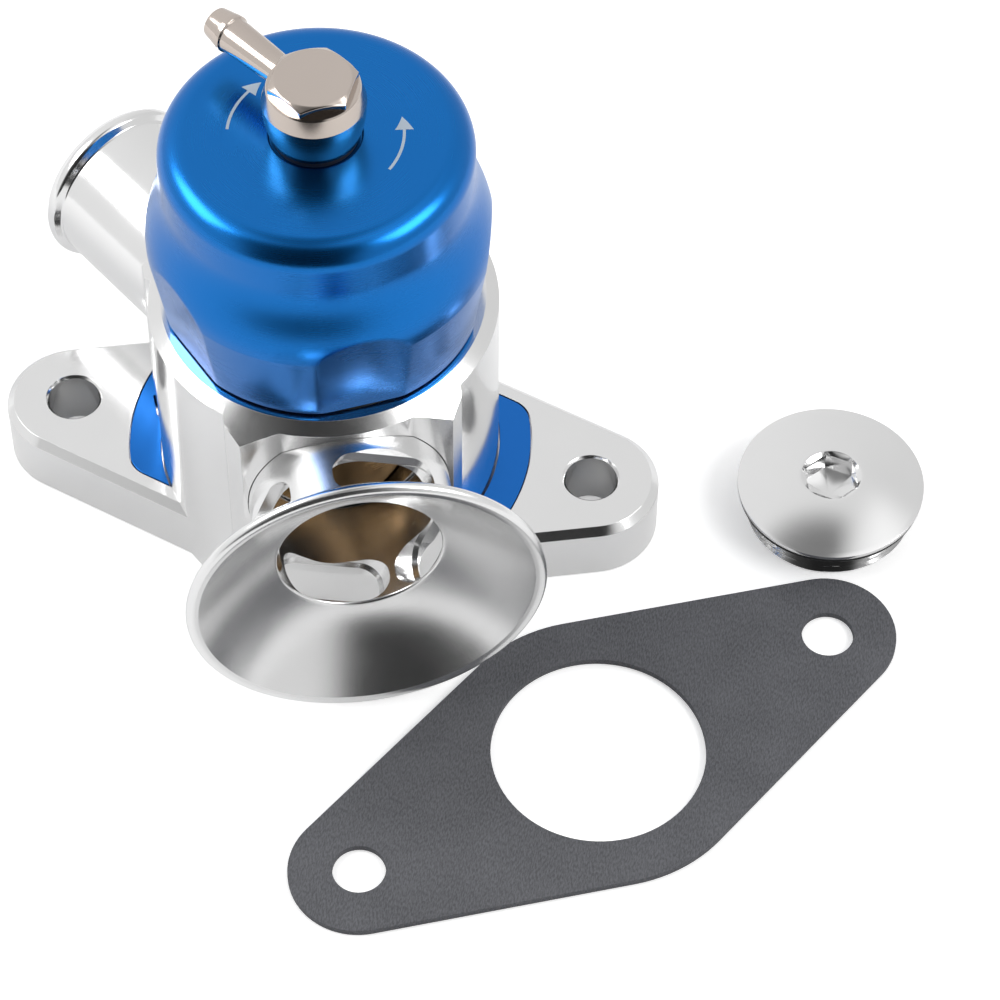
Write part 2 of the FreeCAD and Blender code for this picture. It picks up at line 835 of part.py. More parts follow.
def make_adjuster_cap():
    body = new_body("adjuster_cap")
    base = size("cap_base_radius")
    skirt = size("cap_skirt_radius")
    lid = size("cap_lid_radius")
    edge = size("cap_edge_radius")
    curve = size("cap_shoulder_curve")
    taper_top = cap_bottom + size("cap_taper_height")
    band_top = taper_top + size("cap_band_height")
    inward = skirt - lid
    shoulder_rise = root(curve * curve - (curve - inward) * (curve - inward))
    thread = size("neck_radius") + size("cap_thread_clearance")
    thread_top = cap_bottom + size("cap_thread_depth")
    cavity = size("cap_cavity_radius")
    turned(body, "Shell", [
        Corner(thread, cap_bottom),
        Corner(base, cap_bottom),
        Corner(skirt, taper_top),
        Corner(skirt, band_top, curve),
        Corner(lid, band_top + shoulder_rise),
        Corner(lid, cap_top - edge, edge),
        Corner(lid - edge, cap_top),
        Corner(0, cap_top),
        Corner(0, cap_ceiling),
        Corner(cavity, cap_ceiling),
        Corner(cavity, thread_top),
        Corner(thread, thread_top),
    ])

    # Finger facets: planes that run beside the taper, one facet depth further in
    deep = size("cap_facet_depth")
    lean = (skirt - base) / size("cap_taper_height")
    low = cap_bottom - margin
    high = band_top + shoulder_rise
    sketch = outline_on(body, "FacetProfile", "XZ_Plane", [
        Corner(base - deep - lean * margin, low),
        Corner(far, low),
        Corner(far, high),
        Corner(base - deep + lean * (high - cap_bottom), high),
    ])
    facet = pocket(body, "Facet", sketch, far, both_ways=True)
    around_axis(body, "Facets", facet, size("cap_facets"))

    sketch = sketch_on(body, "SpotFaceCircle", "XY_Plane", cap_top)
    draw_circle(sketch, 0, 0, size("spot_face_radius"))
    pocket(body, "SpotFace", sketch, size("spot_face_depth"))
    sketch = sketch_on(body, "FittingHoleCircle", "XY_Plane", cap_top)
    draw_circle(sketch, 0, 0, size("fitting_thread_radius"))
    pocket(body, "FittingHole", sketch, size("cap_roof"))
    body.Placement = Placement(Vector(0, 0, 0), Rotation(Vector(0, 0, 1), size("cap_facet_azimuth").value))

    ring("cap_seal", base - size("cap_seal_width"), base, body_height, size("cap_seal_thickness"))


# Hose fitting: a round collar with a low hexagon on top and a side barb

def make_hose_fitting():
    washer_bottom = cap_top - size("spot_face_depth")
    base_bottom = washer_bottom + size("fitting_washer_thickness")
    rim_top = base_bottom + size("fitting_rim_height")
    hex_bottom = base_bottom + size("fitting_shoulder_height")
    hex_top = hex_bottom + size("fitting_hex_height")
    shank_bottom = base_bottom - size("fitting_thread_length")
    barb_height = base_bottom + size("barb_height")
    thread = size("fitting_thread_radius") - size("fitting_thread_clearance")
    bore = size("fitting_bore_radius")
    shoulder = size("fitting_shoulder_radius")

    body = new_body("hose_fitting")
    turned(body, "Collar", [
        Corner(0, shank_bottom),
        Corner(thread, shank_bottom),
        Corner(thread, base_bottom),
        Corner(size("fitting_base_radius"), base_bottom),
        Corner(size("fitting_rim_radius"), rim_top),
        Corner(shoulder, hex_bottom),
        Corner(0, hex_bottom),
    ])
    sketch = outline_on(body, "HexOutline", "XY_Plane", hexagon(size("fitting_flats")), hex_bottom)
    pad(body, "Hexagon", sketch, size("fitting_hex_height"))
    slope = size("fitting_bevel_drop") / (shoulder - size("fitting_bevel_radius"))
    sketch = outline_on(body, "TopBevelProfile", "XZ_Plane", [
        Corner(size("fitting_bevel_radius"), hex_top),
        Corner(shoulder + margin, hex_top - size("fitting_bevel_drop") - slope * margin),
        Corner(shoulder + margin, hex_top + margin),
        Corner(size("fitting_bevel_radius"), hex_top + margin),
    ])
    groove(body, "TopBevel", sketch, "V_Axis")
    sketch = outline_on(body, "PassageProfile", "XZ_Plane", [
        Corner(0, shank_bottom),
        Corner(bore, shank_bottom),
        Corner(bore, barb_height),
        Corner(0, barb_height + bore),
    ])
    groove(body, "Passage", sketch, "V_Axis")
    socket_floor = size("fitting_rim_radius") - size("barb_socket_depth")
    sketch = outline_on(body, "BarbSocketProfile", "XY_Plane", [
        Corner(0, 0),
        Corner(0, size("barb_bore_radius")),
        Corner(socket_floor, size("barb_bore_radius")),
        Corner(socket_floor, size("barb_shank_radius")),
        Corner(size("fitting_rim_radius") + margin, size("barb_shank_radius")),
        Corner(size("fitting_rim_radius") + margin, 0),
    ], barb_height)
    groove(body, "BarbSocket", sketch, "H_Axis")
    body.Placement = Placement(Vector(0, 0, 0), Rotation(Vector(0, 0, 1), size("barb_azimuth").value))

    ring("fitting_washer", size("fitting_thread_radius") + size("fitting_washer_clearance"),
         size("fitting_washer_radius"), washer_bottom, size("fitting_washer_thickness"))

    barb = new_body("hose_barb")
    shank = size("barb_shank_radius")
    reach = size("barb_reach")
    ridge_start = reach - size("barb_ridge_length")
    turned(barb, "Barb", [
        Corner(size("barb_bore_radius"), socket_floor),
        Corner(shank, socket_floor),
        Corner(shank, size("fitting_rim_radius")),
        Corner(size("barb_shank_end_radius"), ridge_start),
        Corner(size("barb_ridge_radius"), ridge_start),
        Corner(size("barb_tip_radius"), reach),
        Corner(size("barb_bore_radius"), reach),
    ])
    place(barb, 0, 0, barb_height, outward(size("barb_azimuth")))


# Trumpet on the front port

def make_trumpet():
    """Turned about its own Z axis; its own zero height is on the valve's axis."""
    body = new_body("trumpet")
    collar = size("trumpet_collar_radius")
    inner = collar - size("trumpet_wall")
    thread = size("port_thread_radius") - size("trumpet_thread_clearance")
    shank_start = face_distance - port_thread_depth + size("trumpet_end_gap")
    collar_start = face_distance - size("port_recess_depth") + size("trumpet_seal_thickness")
    neck_end = face_distance + size("trumpet_neck_length")
    reach = size("trumpet_reach")
    rim = size("trumpet_rim_radius")
    bead = size("trumpet_bead")
    skin = size("trumpet_skin")
    flare = size("trumpet_flare_radius")
    angle = size("trumpet_flare_angle")
    inner_arc_r = inner + flare * (1 - cosine(angle))
    inner_arc_v = neck_end + flare * sine(angle)
    outer_flare = flare - skin
    outer_arc_r = inner + flare - outer_flare * cosine(angle)
    outer_arc_v = neck_end + outer_flare * sine(angle)
    turned(body, "Bell", [
        Corner(inner, shank_start),
        Corner(thread, shank_start),
        Corner(thread, collar_start),
        Corner(collar, collar_start),
        Corner(collar, neck_end - size("trumpet_neck_blend")),
        Corner(outer_arc_r, outer_arc_v),
        Corner(rim - bead, reach - bead),
        Corner(rim - bead / 2, reach - bead, bead / 2),
        Corner(rim - bead / 2, reach),
        Corner(rim - bead, reach),
        Corner(inner_arc_r, inner_arc_v, flare),
        Corner(inner, neck_end),
    ])
    half = size("slot_width") / 2
    start = face_distance + size("slot_start")
    end = start + size("slot_length")
    corner = size("slot_corner")
    sketch = outline_on(body, "SlotOutline", "XZ_Plane", [
        Corner(-half + corner, start),
        Corner(half - corner, start, corner),
        Corner(half, start + corner),
        Corner(half, end - corner, corner),
        Corner(half - corner, end),
        Corner(-half + corner, end, corner),
        Corner(-half, end - corner),
        Corner(-half, start + corner, corner),
    ])
    slot = pocket(body, "Slot", sketch, far)
    around_axis(body, "Slots", slot, size("slot_count"))
    turn = Rotation(Vector(0, 0, 1), size("slot_turn").value)
    place(body, 0, 0, size("front_height"), outward(size("front_azimuth")) * turn)

    seal = ring("trumpet_seal", size("port_thread_radius") + size("port_seal_clearance"),
                size("port_thread_radius") + size("trumpet_seal_width"),
                face_distance - size("port_recess_depth"), size("trumpet_seal_thickness"))
    place(seal, 0, 0, size("front_height"), outward(size("front_azimuth")))


# Recirculation spigot on the rear port

def make_spigot():
    body = new_body("recirculation_spigot")
    outer = size("spigot_radius")
    inner = outer - size("spigot_wall")
    start = face_distance - rear_socket_depth + size("spigot_end_gap")
    reach = size("spigot_reach")
    bead = size("spigot_bead_radius")
    width = size("spigot_bead_width")
    turned(body, "Tube", [
        Corner(inner, start),
        Corner(outer, start),
        Corner(outer, reach - width),
        Corner(bead, reach - size("spigot_bead_start")),
        Corner(bead, reach - size("spigot_bead_end")),
        Corner(outer + size("spigot_mouth_step"), reach),
        Corner(inner, reach),
    ])
    place(body, 0, 0, size("rear_height"), outward(size("rear_azimuth")))
    clearance = size("port_seal_clearance")
    seal = ring("spigot_seal", outer + clearance, outer + size("spigot_seal_width") - clearance,
                face_distance - size("rear_recess_depth"), size("rear_recess_depth") - size("spigot_seal_gap"))
    place(seal, 0, 0, size("rear_height"), outward(size("rear_azimuth")))


# Loose gasket

def make_gasket():
    body = new_body("gasket")
    sketch = outline_on(body, "GasketOutline", "XY_Plane", flange_outline())
    pad(body, "Sheet", sketch, size("gasket_thickness"))
    sketch = sketch_on(body, "GasketHoles", "XY_Plane", size("gasket_thickness"))
    draw_circle(sketch, 0, 0, size("gasket_bore_radius"))
    draw_circle(sketch, size("bolt_offset"), 0, size("gasket_hole_radius"))
    draw_circle(sketch, -size("bolt_offset"), 0, size("gasket_hole_radius"))
    pocket(body, "Holes", sketch, size("gasket_thickness"))
    turn = Rotation(Vector(0, 0, 1), size("gasket_turn").value)
    place(body, size("gasket_x"), size("gasket_y"), 0, turn)


# Loose blanking plug

def make_plug():
    body = new_body("blanking_plug")
    thread = size("port_thread_radius") - size("trumpet_thread_clearance")
    rim = size("plug_rim_radius")
    rim_low = size("plug_thread_length")
    rim_high = rim_low + size("plug_rim_height")
    dome = size("plug_dome_height")
    dome_radius = (rim * rim + dome * dome) / (dome * 2)
    top = rim_high + dome
    seal_low = rim_low - size("plug_seal_thickness")
    seal_inner = rim - size("plug_seal_setback") - size("plug_seal_width")
    core = size("plug_socket_flats") / 2
    mouth = core / cosine(30) + size("plug_socket_chamfer")
    mouth_height = top - dome_radius + root(dome_radius * dome_radius - mouth * mouth)
    floor = top - size("plug_socket_depth")
    turned(body, "Dome", [
        Corner(0, 0),
        Corner(thread - size("plug_thread_chamfer"), 0),
        Corner(thread, size("plug_thread_chamfer")),
        Corner(thread, seal_low),
        Corner(seal_inner, seal_low),
        Corner(seal_inner, rim_low),
        Corner(rim, rim_low),
        Corner(rim, rim_high, dome_radius),
        Corner(mouth, mouth_height),
        Corner(core, mouth_height - (mouth - core)),
        Corner(core, floor),
        Corner(0, floor - size("plug_point_depth")),
    ])
    sketch = outline_on(body, "SocketOutline", "XY_Plane", hexagon(size("plug_socket_flats")), top)
    pocket(body, "Socket", sketch, size("plug_socket_depth"))
    turn = Rotation(Vector(0, 0, 1), size("plug_turn").value)
    place(body, size("plug_x"), size("plug_y"), 0, turn)
    seal = ring("plug_seal", seal_inner, rim - size("plug_seal_setback"), seal_low, size("plug_seal_thickness"))
    place(seal, size("plug_x"), size("plug_y"), 0)


make_valve_body()
make_inlay("inlay_right", "right")
make_inlay("inlay_left", "left")
make_piston()
make_piston_rings()
make_spring()
make_spring_seat()
make_adjuster_cap()
make_hose_fitting()
make_trumpet()
make_spigot()
make_gasket()
make_plug()
doc.recompute()


# Check every object and write one file for each piece

for item in doc.Objects:
    if "Invalid" in item.State or "Error" in item.State:
        raise ValueError("%s failed: %s" % (item.Name, item.State))

pieces = [item for item in doc.Objects if item.TypeId == "PartDesign::Body"]
for piece in pieces:
    shape = piece.Shape
    if shape.isNull() or not shape.isValid() or not shape.Solids:
        raise ValueError("%s has no sound shape" % piece.Label)

os.makedirs("parts", exist_ok=True)
for piece in pieces:
    piece.Shape.exportStep("parts/%s.step" % piece.Label)
    box = piece.Shape.BoundBox
    print("%-22s %9.1f mm3  z %7.2f to %7.2f  solids %d" % (
        piece.Label, piece.Shape.Volume, box.ZMin, box.ZMax, len(piece.Shape.Solids)))
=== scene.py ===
"""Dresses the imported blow-off valve and sets it in a plain studio.

Every new piece is a surface worked out with numpy in millimetres: a profile of radius and height
that is turned about an axis, a grid of two parameters, or a section carried along a path. It is
put in place in metres in the frame's own axes and takes the place of the CAD node it stands for.
"""

from __future__ import annotations

import logging
import math
from dataclasses import dataclass, field
from enum import Enum

import bmesh
import bpy
import numpy as np
from mathutils import Matrix, Vector

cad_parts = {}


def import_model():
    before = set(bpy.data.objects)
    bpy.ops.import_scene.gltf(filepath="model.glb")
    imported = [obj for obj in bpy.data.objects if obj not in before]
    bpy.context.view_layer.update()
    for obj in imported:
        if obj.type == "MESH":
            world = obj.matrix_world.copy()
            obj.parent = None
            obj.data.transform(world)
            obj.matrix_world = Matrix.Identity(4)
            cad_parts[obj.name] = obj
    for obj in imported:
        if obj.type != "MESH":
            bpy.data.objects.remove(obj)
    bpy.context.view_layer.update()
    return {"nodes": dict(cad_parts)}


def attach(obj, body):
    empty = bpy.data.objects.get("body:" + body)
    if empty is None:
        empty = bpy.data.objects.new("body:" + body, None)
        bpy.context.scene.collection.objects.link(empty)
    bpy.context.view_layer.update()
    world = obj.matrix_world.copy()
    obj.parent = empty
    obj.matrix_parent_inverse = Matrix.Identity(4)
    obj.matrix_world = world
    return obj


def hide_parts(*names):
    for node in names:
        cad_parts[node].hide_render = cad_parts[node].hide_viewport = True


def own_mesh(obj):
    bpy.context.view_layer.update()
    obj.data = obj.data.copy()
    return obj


LOG = logging.getLogger("blow_off_valve")
MM = 0.001
FULL_TURN = 2.0 * math.pi


# Profiles and grids

# Share of a side that one rounding may take up
SIDE_SHARE = 0.49
# Bend in radians below which a corner counts as straight
STRAIGHT = 0.02
# Distance in metres under which points of a new mesh are merged
MERGED = 1e-7


def curve(radii: np.ndarray, heights: np.ndarray) -> list:
    """Corners that need no rounding, from radii and heights of the same number."""
    return [(float(radius), float(height), 0.0) for radius, height in zip(radii, heights)]


def arc_points(centre: tuple[float, float], radius: float, start: float, end: float, steps: int) -> list:
    """Points along a circular arc.

    Args:
        centre: centre of the circle as radius and height.
        radius: radius of the arc.
        start: first angle in degrees, counted from the outward direction.
        end: last angle in degrees.
        steps: number of straight steps.

    Returns:
        A list of (radius, height, 0) corners that need no rounding.
    """
    bend = np.radians(np.linspace(start, end, steps + 1))
    return curve(centre[0] + radius * np.cos(bend), centre[1] + radius * np.sin(bend))


def rounded_profile(corners: list, steps: int = 4) -> np.ndarray:
    """Round the corners of a closed profile.

    A corner with a radius f is replaced by the arc that touches both of its sides: it starts at
    f times the tangent of half the turn before the corner and ends as far after it.

    Args:
        corners: (radius, height, rounding) of each corner, in order.
        steps: straight steps of each rounding.

    Returns:
        The rounded profile as an array of (radius, height).
    """
    points = np.array([corner[:2] for corner in corners], float)
    count = len(points)
    result = []
    for index, corner in enumerate(corners):
        here = points[index]
        before = points[index - 1] - here
        after = points[(index + 1) % count] - here
        room = SIDE_SHARE * min(np.linalg.norm(before), np.linalg.norm(after))
        before = before / np.linalg.norm(before)
        after = after / np.linalg.norm(after)
        inside = math.acos(float(np.clip(before @ after, -1.0, 1.0)))
        if corner[2] <= 0 or inside > math.pi - STRAIGHT:
            result.append(here)
            continue
        setback = min(corner[2] / math.tan(inside / 2), room)
        bend = setback * math.tan(inside / 2)
        middle = (before + after) / np.linalg.norm(before + after)
        centre = here + middle * bend / math.sin(inside / 2)
        first = here + before * setback - centre
        last = here + after * setback - centre
        sweep = math.pi - inside
        for step in range(steps + 1):
            share = step / steps
            weight_first = math.sin((1 - share) * sweep) / math.sin(sweep)
            weight_last = math.sin(share * sweep) / math.sin(sweep)
            result.append(centre + weight_first * first + weight_last * last)
    return np.array(result)


def refined(profile: np.ndarray, longest: float, low: float = -1e9, high: float = 1e9) -> np.ndarray:
    """Divide the long steps of a closed profile.

    Args:
        profile: array of (radius, height).
        longest: longest step that is left between two points.
        low: steps below this height are left as they are.
        high: steps above this height are left as they are.

    Returns:
        The profile with points added along its long steps.
    """
    rows = []
    for here, after in zip(profile, np.roll(profile, -1, axis=0)):
        rows.append(here[None])
        length = float(np.linalg.norm(after - here))
        middle = (here[1] + after[1]) / 2
        if length > longest and low <= middle <= high:
            parts = int(math.ceil(length / longest))
            shares = (np.arange(1, parts) / parts)[:, None]
            rows.append(here + (after - here) * shares)
    return np.concatenate(rows)


def grid_faces(rows: int, columns: int, closed_rows: bool, closed_columns: bool) -> np.ndarray:
    """Quads of a grid of points stored row by row.

    Args:
        rows: number of rows.
        columns: number of points in each row.
        closed_rows: whether the last row joins the first.
        closed_columns: whether each row's last point joins its first.

    Returns:
        An array of four point numbers for each quad.
    """
    row = np.arange(rows if closed_rows else rows - 1)[:, None]
    column = np.arange(columns if closed_columns else columns - 1)[None, :]
    next_row = (row + 1) % rows
    next_column = (column + 1) % columns
    quads = np.stack([
        row * columns + column,
        row * columns + next_column,
        next_row * columns + next_column,
        next_row * columns + column,
    ], axis=-1)
    return quads.reshape(-1, 4)


def mesh_object(name: str, points: np.ndarray, faces: np.ndarray) -> bpy.types.Object:
    """Make a mesh object from points in metres.

    Points that fall together, such as those of a pole, are merged, and the faces are made to
    point outwards.

    Args:
        name: name of the object.
        points: array of (x, y, z) in metres.
        faces: array of quads.

    Returns:
        The new object at the scene's origin.
    """
    mesh = bpy.data.meshes.new(name)
    mesh.vertices.add(len(points))
    mesh.vertices.foreach_set("co", np.ascontiguousarray(points, np.float32).ravel())
    mesh.loops.add(faces.size)
    mesh.loops.foreach_set("vertex_index", faces.ravel().astype(np.int32))
    mesh.polygons.add(len(faces))
    mesh.polygons.foreach_set("loop_start", np.arange(0, faces.size, 4, dtype=np.int32))
    mesh.update(calc_edges=True)
    shape = bmesh.new()
    shape.from_mesh(mesh)
    bmesh.ops.remove_doubles(shape, verts=shape.verts, dist=MERGED)
    bmesh.ops.recalc_face_normals(shape, faces=shape.faces)
    shape.to_mesh(mesh)
    shape.free()
    thing = bpy.data.objects.new(name, mesh)
    bpy.context.scene.collection.objects.link(thing)
    return thing


def capped(piece: bpy.types.Object) -> bpy.types.Object:
    """Close the open ends of a piece and point its faces outwards."""
    shape = bmesh.new()
    shape.from_mesh(piece.data)
    bmesh.ops.holes_fill(shape, edges=shape.edges, sides=0)
    bmesh.ops.recalc_face_normals(shape, faces=shape.faces)
    shape.to_mesh(piece.data)
    shape.free()
    return piece


@dataclass(frozen=True)
class Axis:
    """An axis that pieces are turned about.

    Attributes:
        azimuth: direction of a level axis in degrees, or None for the upright valve axis.
        height: height of a level axis above the flange's underside in mm.
        centre: place of an upright axis in mm.
    """

    azimuth: float | None = None
    height: float = 0.0
    centre: tuple[float, float] = (0.0, 0.0)

    def place(self, across: np.ndarray, side: np.ndarray, along: np.ndarray) -> np.ndarray:
        """Turn local coordinates into places in metres.

        On a level axis the first coordinate points up, the second to the left as seen from
        outside, and the third out along the axis. On the upright axis they are x, y and z.

        Args:
            across: first coordinate in mm.
            side: second coordinate in mm.
            along: distance along the axis in mm.

        Returns:
            An array of points in metres.
        """
        across, side, along = np.broadcast_arrays(across, side, along)
        if self.azimuth is None:
            parts = (across + self.centre[0], side + self.centre[1], along)
        else:
            turn = math.radians(self.azimuth)
            x = along * math.cos(turn) + side * math.sin(turn)
            y = along * math.sin(turn) - side * math.cos(turn)
            parts = (x, y, across + self.height)
        return np.stack(parts, axis=-1).reshape(-1, 3) * MM

    def direction(self) -> tuple[float, float, float]:
        """Unit vector along the axis."""
        if self.azimuth is None:
            return (0.0, 0.0, 1.0)
        turn = math.radians(self.azimuth)
        return (math.cos(turn), math.sin(turn), 0.0)

    def origin(self) -> tuple[float, float, float]:
        """A point on the axis in metres."""
        if self.azimuth is None:
            return (self.centre[0] * MM, self.centre[1] * MM, 0.0)
        return (0.0, 0.0, self.height * MM)


VALVE_AXIS = Axis()
FRONT_PORT = Axis(azimuth=-69.8, height=29.5)
REAR_PORT = Axis(azimuth=141.8, height=26.7)
PLUG_AXIS = Axis(centre=(81.5, 10.1))


def angles(columns: int) -> np.ndarray:
    """Even angles round an axis, as one row."""
    return (np.arange(columns) / columns * FULL_TURN)[None, :]


def smaller(first: np.ndarray, second: np.ndarray, blend: float) -> np.ndarray:
    """The smaller of two distances, softened over blend with a log of summed exponentials."""
    return first - blend * np.logaddexp(0.0, (first - second) / blend)


def lathed(name: str, radius: np.ndarray, height: np.ndarray, axis: Axis,
           closed: bool = True) -> bpy.types.Object:
    """Make a surface from a radius for each height and angle.

    Args:
        name: name of the object.
        radius: radii in mm, one row for each height and one column for each angle.
        height: heights in mm, as one column.
        axis: axis that it is turned about.
        closed: whether the last row joins the first.

    Returns:
        The new object.
    """
    columns = radius.shape[1]
    angle = angles(columns)
    points = axis.place(radius * np.cos(angle), radius * np.sin(angle), height)
    return mesh_object(name, points, grid_faces(len(height), columns, closed, True))


def turned(name: str, profile: np.ndarray, axis: Axis, columns: int = 256) -> bpy.types.Object:
    """Turn a closed profile of (radius, height) in mm about an axis, in so many columns."""
    return lathed(name, np.repeat(profile[:, :1], columns, axis=1), profile[:, 1:], axis)


# Shader maths

class Value:
    """A shader socket that works in Python arithmetic; each operation adds a Math node."""

    def __init__(self, graph: "Graph", socket: bpy.types.NodeSocket) -> None:
        """Wrap an output socket of a graph."""
        self.graph = graph
        self.socket = socket

    def _math(self, operation: str, first: object, second: object = 0.0) -> "Value":
        """Add a Math node."""
        node = self.graph.node("ShaderNodeMath", {0: first, 1: second}, operation=operation)
        return Value(self.graph, node.outputs[0])

    def __add__(self, other: object) -> "Value":
        """Sum."""
        return self._math("ADD", self, other)

    def __sub__(self, other: object) -> "Value":
        """Difference."""
        return self._math("SUBTRACT", self, other)

    def __rsub__(self, other: object) -> "Value":
        """Difference from a number."""
        return self._math("SUBTRACT", other, self)

    def __mul__(self, other: object) -> "Value":
        """Product."""
        return self._math("MULTIPLY", self, other)

    def __truediv__(self, other: object) -> "Value":
        """Quotient."""
        return self._math("DIVIDE", self, other)

    def root(self) -> "Value":
        """Square root."""
        return self._math("SQRT", self)

    def at_least(self, other: object) -> "Value":
        """The larger of two values."""
        return self._math("MAXIMUM", self, other)

    def step_between(self, low: float, high: float) -> "Value":
        """A smooth step from 0 at low to 1 at high."""
        node = self.graph.node(
            "ShaderNodeMapRange", {0: self, 1: low, 2: high}, interpolation_type="SMOOTHSTEP")
        return Value(self.graph, node.outputs[0])


class Graph:
    """The node tree of one material or of the world."""

    def __init__(self, tree: bpy.types.NodeTree) -> None:
        """Start an empty tree."""
        self.tree = tree
        tree.nodes.clear()

    def node(self, kind: str, inputs: dict | None = None, **settings: str) -> bpy.types.Node:
        """Add a node.

        Args:
            kind: the node's type name.
            inputs: values, sockets or Values for the inputs, by name or number.
            settings: properties that are set first, such as the operation.

        Returns:
            The new node.
        """
        node = self.tree.nodes.new(kind)
        for key, value in settings.items():
            setattr(node, key, value)
        for key, value in (inputs or {}).items():
            if isinstance(value, Value):
                self.tree.links.new(value.socket, node.inputs[key])
            elif isinstance(value, bpy.types.NodeSocket):
                self.tree.links.new(value, node.inputs[key])
            else:
                node.inputs[key].default_value = value
        return node

    def surface(self, inputs: dict) -> None:
        """End the tree in a Principled surface with these inputs."""
        shader = self.node("ShaderNodeBsdfPrincipled", inputs)
        self.node("ShaderNodeOutputMaterial", {"Surface": shader.outputs[0]})

    def place(self) -> bpy.types.NodeSocket:
        """Object coordinates in metres."""
        return self.node("ShaderNodeTexCoord").outputs["Object"]

    def camera_ray(self) -> Value:
        """1 for what the camera sees directly and 0 for the light that pieces see."""
        return Value(self, self.node("ShaderNodeLightPath").outputs["Is Camera Ray"])

    def noise(self, vector: bpy.types.NodeSocket, scale: float, detail: float = 3.0) -> Value:
        """Cloudy noise from 0 to 1 with scale features in a metre."""
        node = self.node("ShaderNodeTexNoise", {"Vector": vector, "Scale": scale, "Detail": detail})
        return Value(self, node.outputs[0])

    def along(self, axis: Axis) -> tuple[Value, Value]:
        """Radius from an axis and distance along it, both in mm.

        Args:
            axis: the axis that is measured from.

        Returns:
            The radius and the distance.
        """
        kind = "ShaderNodeVectorMath"
        shift = self.node(kind, {0: self.place(), 1: axis.origin()}, operation="SUBTRACT").outputs[0]
        reach = self.node(kind, {0: shift, 1: axis.direction()}, operation="DOT_PRODUCT")
        length = self.node(kind, {0: shift}, operation="LENGTH")
        far = Value(self, reach.outputs["Value"])
        whole = Value(self, length.outputs["Value"])
        radius = (whole * whole - far * far).at_least(0.0).root()
        return radius / MM, far / MM

    def colour_mix(self, share: Value, first: tuple, second: tuple) -> bpy.types.NodeSocket:
        """Blend from the first colour at share 0 to the second at share 1."""
        node = self.node("ShaderNodeMix", {0: share, 6: first, 7: second}, data_type="RGBA")
        return node.outputs[2]

    def bump(self, height: Value, depth: float) -> bpy.types.NodeSocket:
        """A normal bent by a height from 0 to 1 whose full range is depth in mm."""
        node = self.node("ShaderNodeBump", {"Height": height, "Distance": depth * MM, "Strength": 1.0})
        return node.outputs[0]


def new_material(name: str) -> tuple[bpy.types.Material, Graph]:
    """Start a material with an empty tree."""
    made = bpy.data.materials.new(name)
    made.use_nodes = True
    return made, Graph(made.node_tree)


# Finishes

BLACK = (0.0, 0.0, 0.0, 1.0)
WHITE = (1.0, 1.0, 1.0, 1.0)
# Share of its colour that a thread keeps under the painted shade
SHADED_THREAD = 0.5
# How much darker the clouds make metal and soft pieces
CLOUD_TINT = 0.06
SOFT_TINT = 0.15
# How many noise features fit in a metre
CLOUDS = 90.0
MILLING_MARKS = 2600.0
SOFT_CLOUDS = 150.0
SOFT_GRAIN = 3000.0
FIBRES = 4200.0
FIBRE_SPECKS = 9000.0
FIBRE_CLOUDS = 120.0
# How the noise of milling marks and of fibres is drawn out and turned
MILLING_STRETCH = (1.0, 1.0, 0.06)
FIBRE_STRETCH = (1.0, 0.35, 1.0)
FIBRE_TURN = 0.9


def srgb(red: int, green: int, blue: int) -> tuple[float, float, float, float]:
    """A colour as it looks on a screen, turned into the shader's linear values."""
    def linear(level: int) -> float:
        """One channel from screen level to linear value."""
        share = level / 255
        return share / 12.92 if share <= 0.04045 else ((share + 0.055) / 1.055) ** 2.4
    return (linear(red), linear(green), linear(blue), 1.0)


@dataclass(frozen=True)
class MetalFinish:
    """A metal surface with fine tool marks, and a painted shade over a thread where asked.

    Attributes:
        name: name of the material.
        colour: linear base colour.
        roughness: mean roughness.
        spread: how far the roughness wanders over the surface.
        coat: weight of a clear layer on top.
        coat_roughness: roughness of that layer.
        axis: axis of the turning marks, or None for plain milling marks.
        pitch: distance between turning marks in mm.
        marks: depth of the tool marks in mm.
        shade_below: height along the axis in mm under which the metal is darkened as painted shade over the
            thread. Zero leaves it alone.
        shade_outside: distance from the axis in mm beyond which the painted shade darkens it.
    """

    name: str
    colour: tuple[float, float, float, float]
    roughness: float
    spread: float = 0.05
    coat: float = 0.0
    coat_roughness: float = 0.1
    axis: Axis | None = None
    pitch: float = 0.2
    marks: float = 0.0006
    shade_below: float = 0.0
    shade_outside: float = 12.0

    def material(self) -> bpy.types.Material:
        """Build the material.

        Turning marks are rings: a noise that changes with the radius and the distance along the
        axis only. Milling marks are a noise drawn out along one direction.

        Returns:
            The material.
        """
        made, graph = new_material(self.name)
        cloud = graph.noise(graph.place(), CLOUDS)
        if self.axis is None:
            drawn_out = graph.node("ShaderNodeMapping", {"Vector": graph.place(), "Scale": MILLING_STRETCH})
            marks = graph.noise(drawn_out.outputs[0], MILLING_MARKS, 2.0)
        else:
            radius, far = graph.along(self.axis)
            ring = graph.node("ShaderNodeCombineXYZ", {0: radius / self.pitch, 1: far / self.pitch})
            marks = graph.noise(ring.outputs[0], 1.0, 2.0)
        rough = (cloud - 0.5) * (2.0 * self.spread) + (marks - 0.5) * self.spread + self.roughness
        lightness = cloud * CLOUD_TINT + (1.0 - CLOUD_TINT)
        # Painted shade: under shade_below and beyond shade_outside the colour is darkened to stand for the
        # shadow in the thread's grooves.
        if self.axis is not None and self.shade_below > 0.0:
            inside = 1.0 - radius.step_between(self.shade_outside - 1.0, self.shade_outside)
            lit = far.step_between(self.shade_below - 0.6, self.shade_below).at_least(inside)
            lightness = lightness * (lit * (1.0 - SHADED_THREAD) + SHADED_THREAD)
        tint = graph.colour_mix(lightness, BLACK, self.colour)
        graph.surface({
            "Base Color": tint,
            "Metallic": 1.0,
            "Roughness": rough.at_least(0.03),
            "Coat Weight": self.coat,
            "Coat Roughness": self.coat_roughness,
            "Normal": graph.bump(marks, self.marks),
        })
        return made


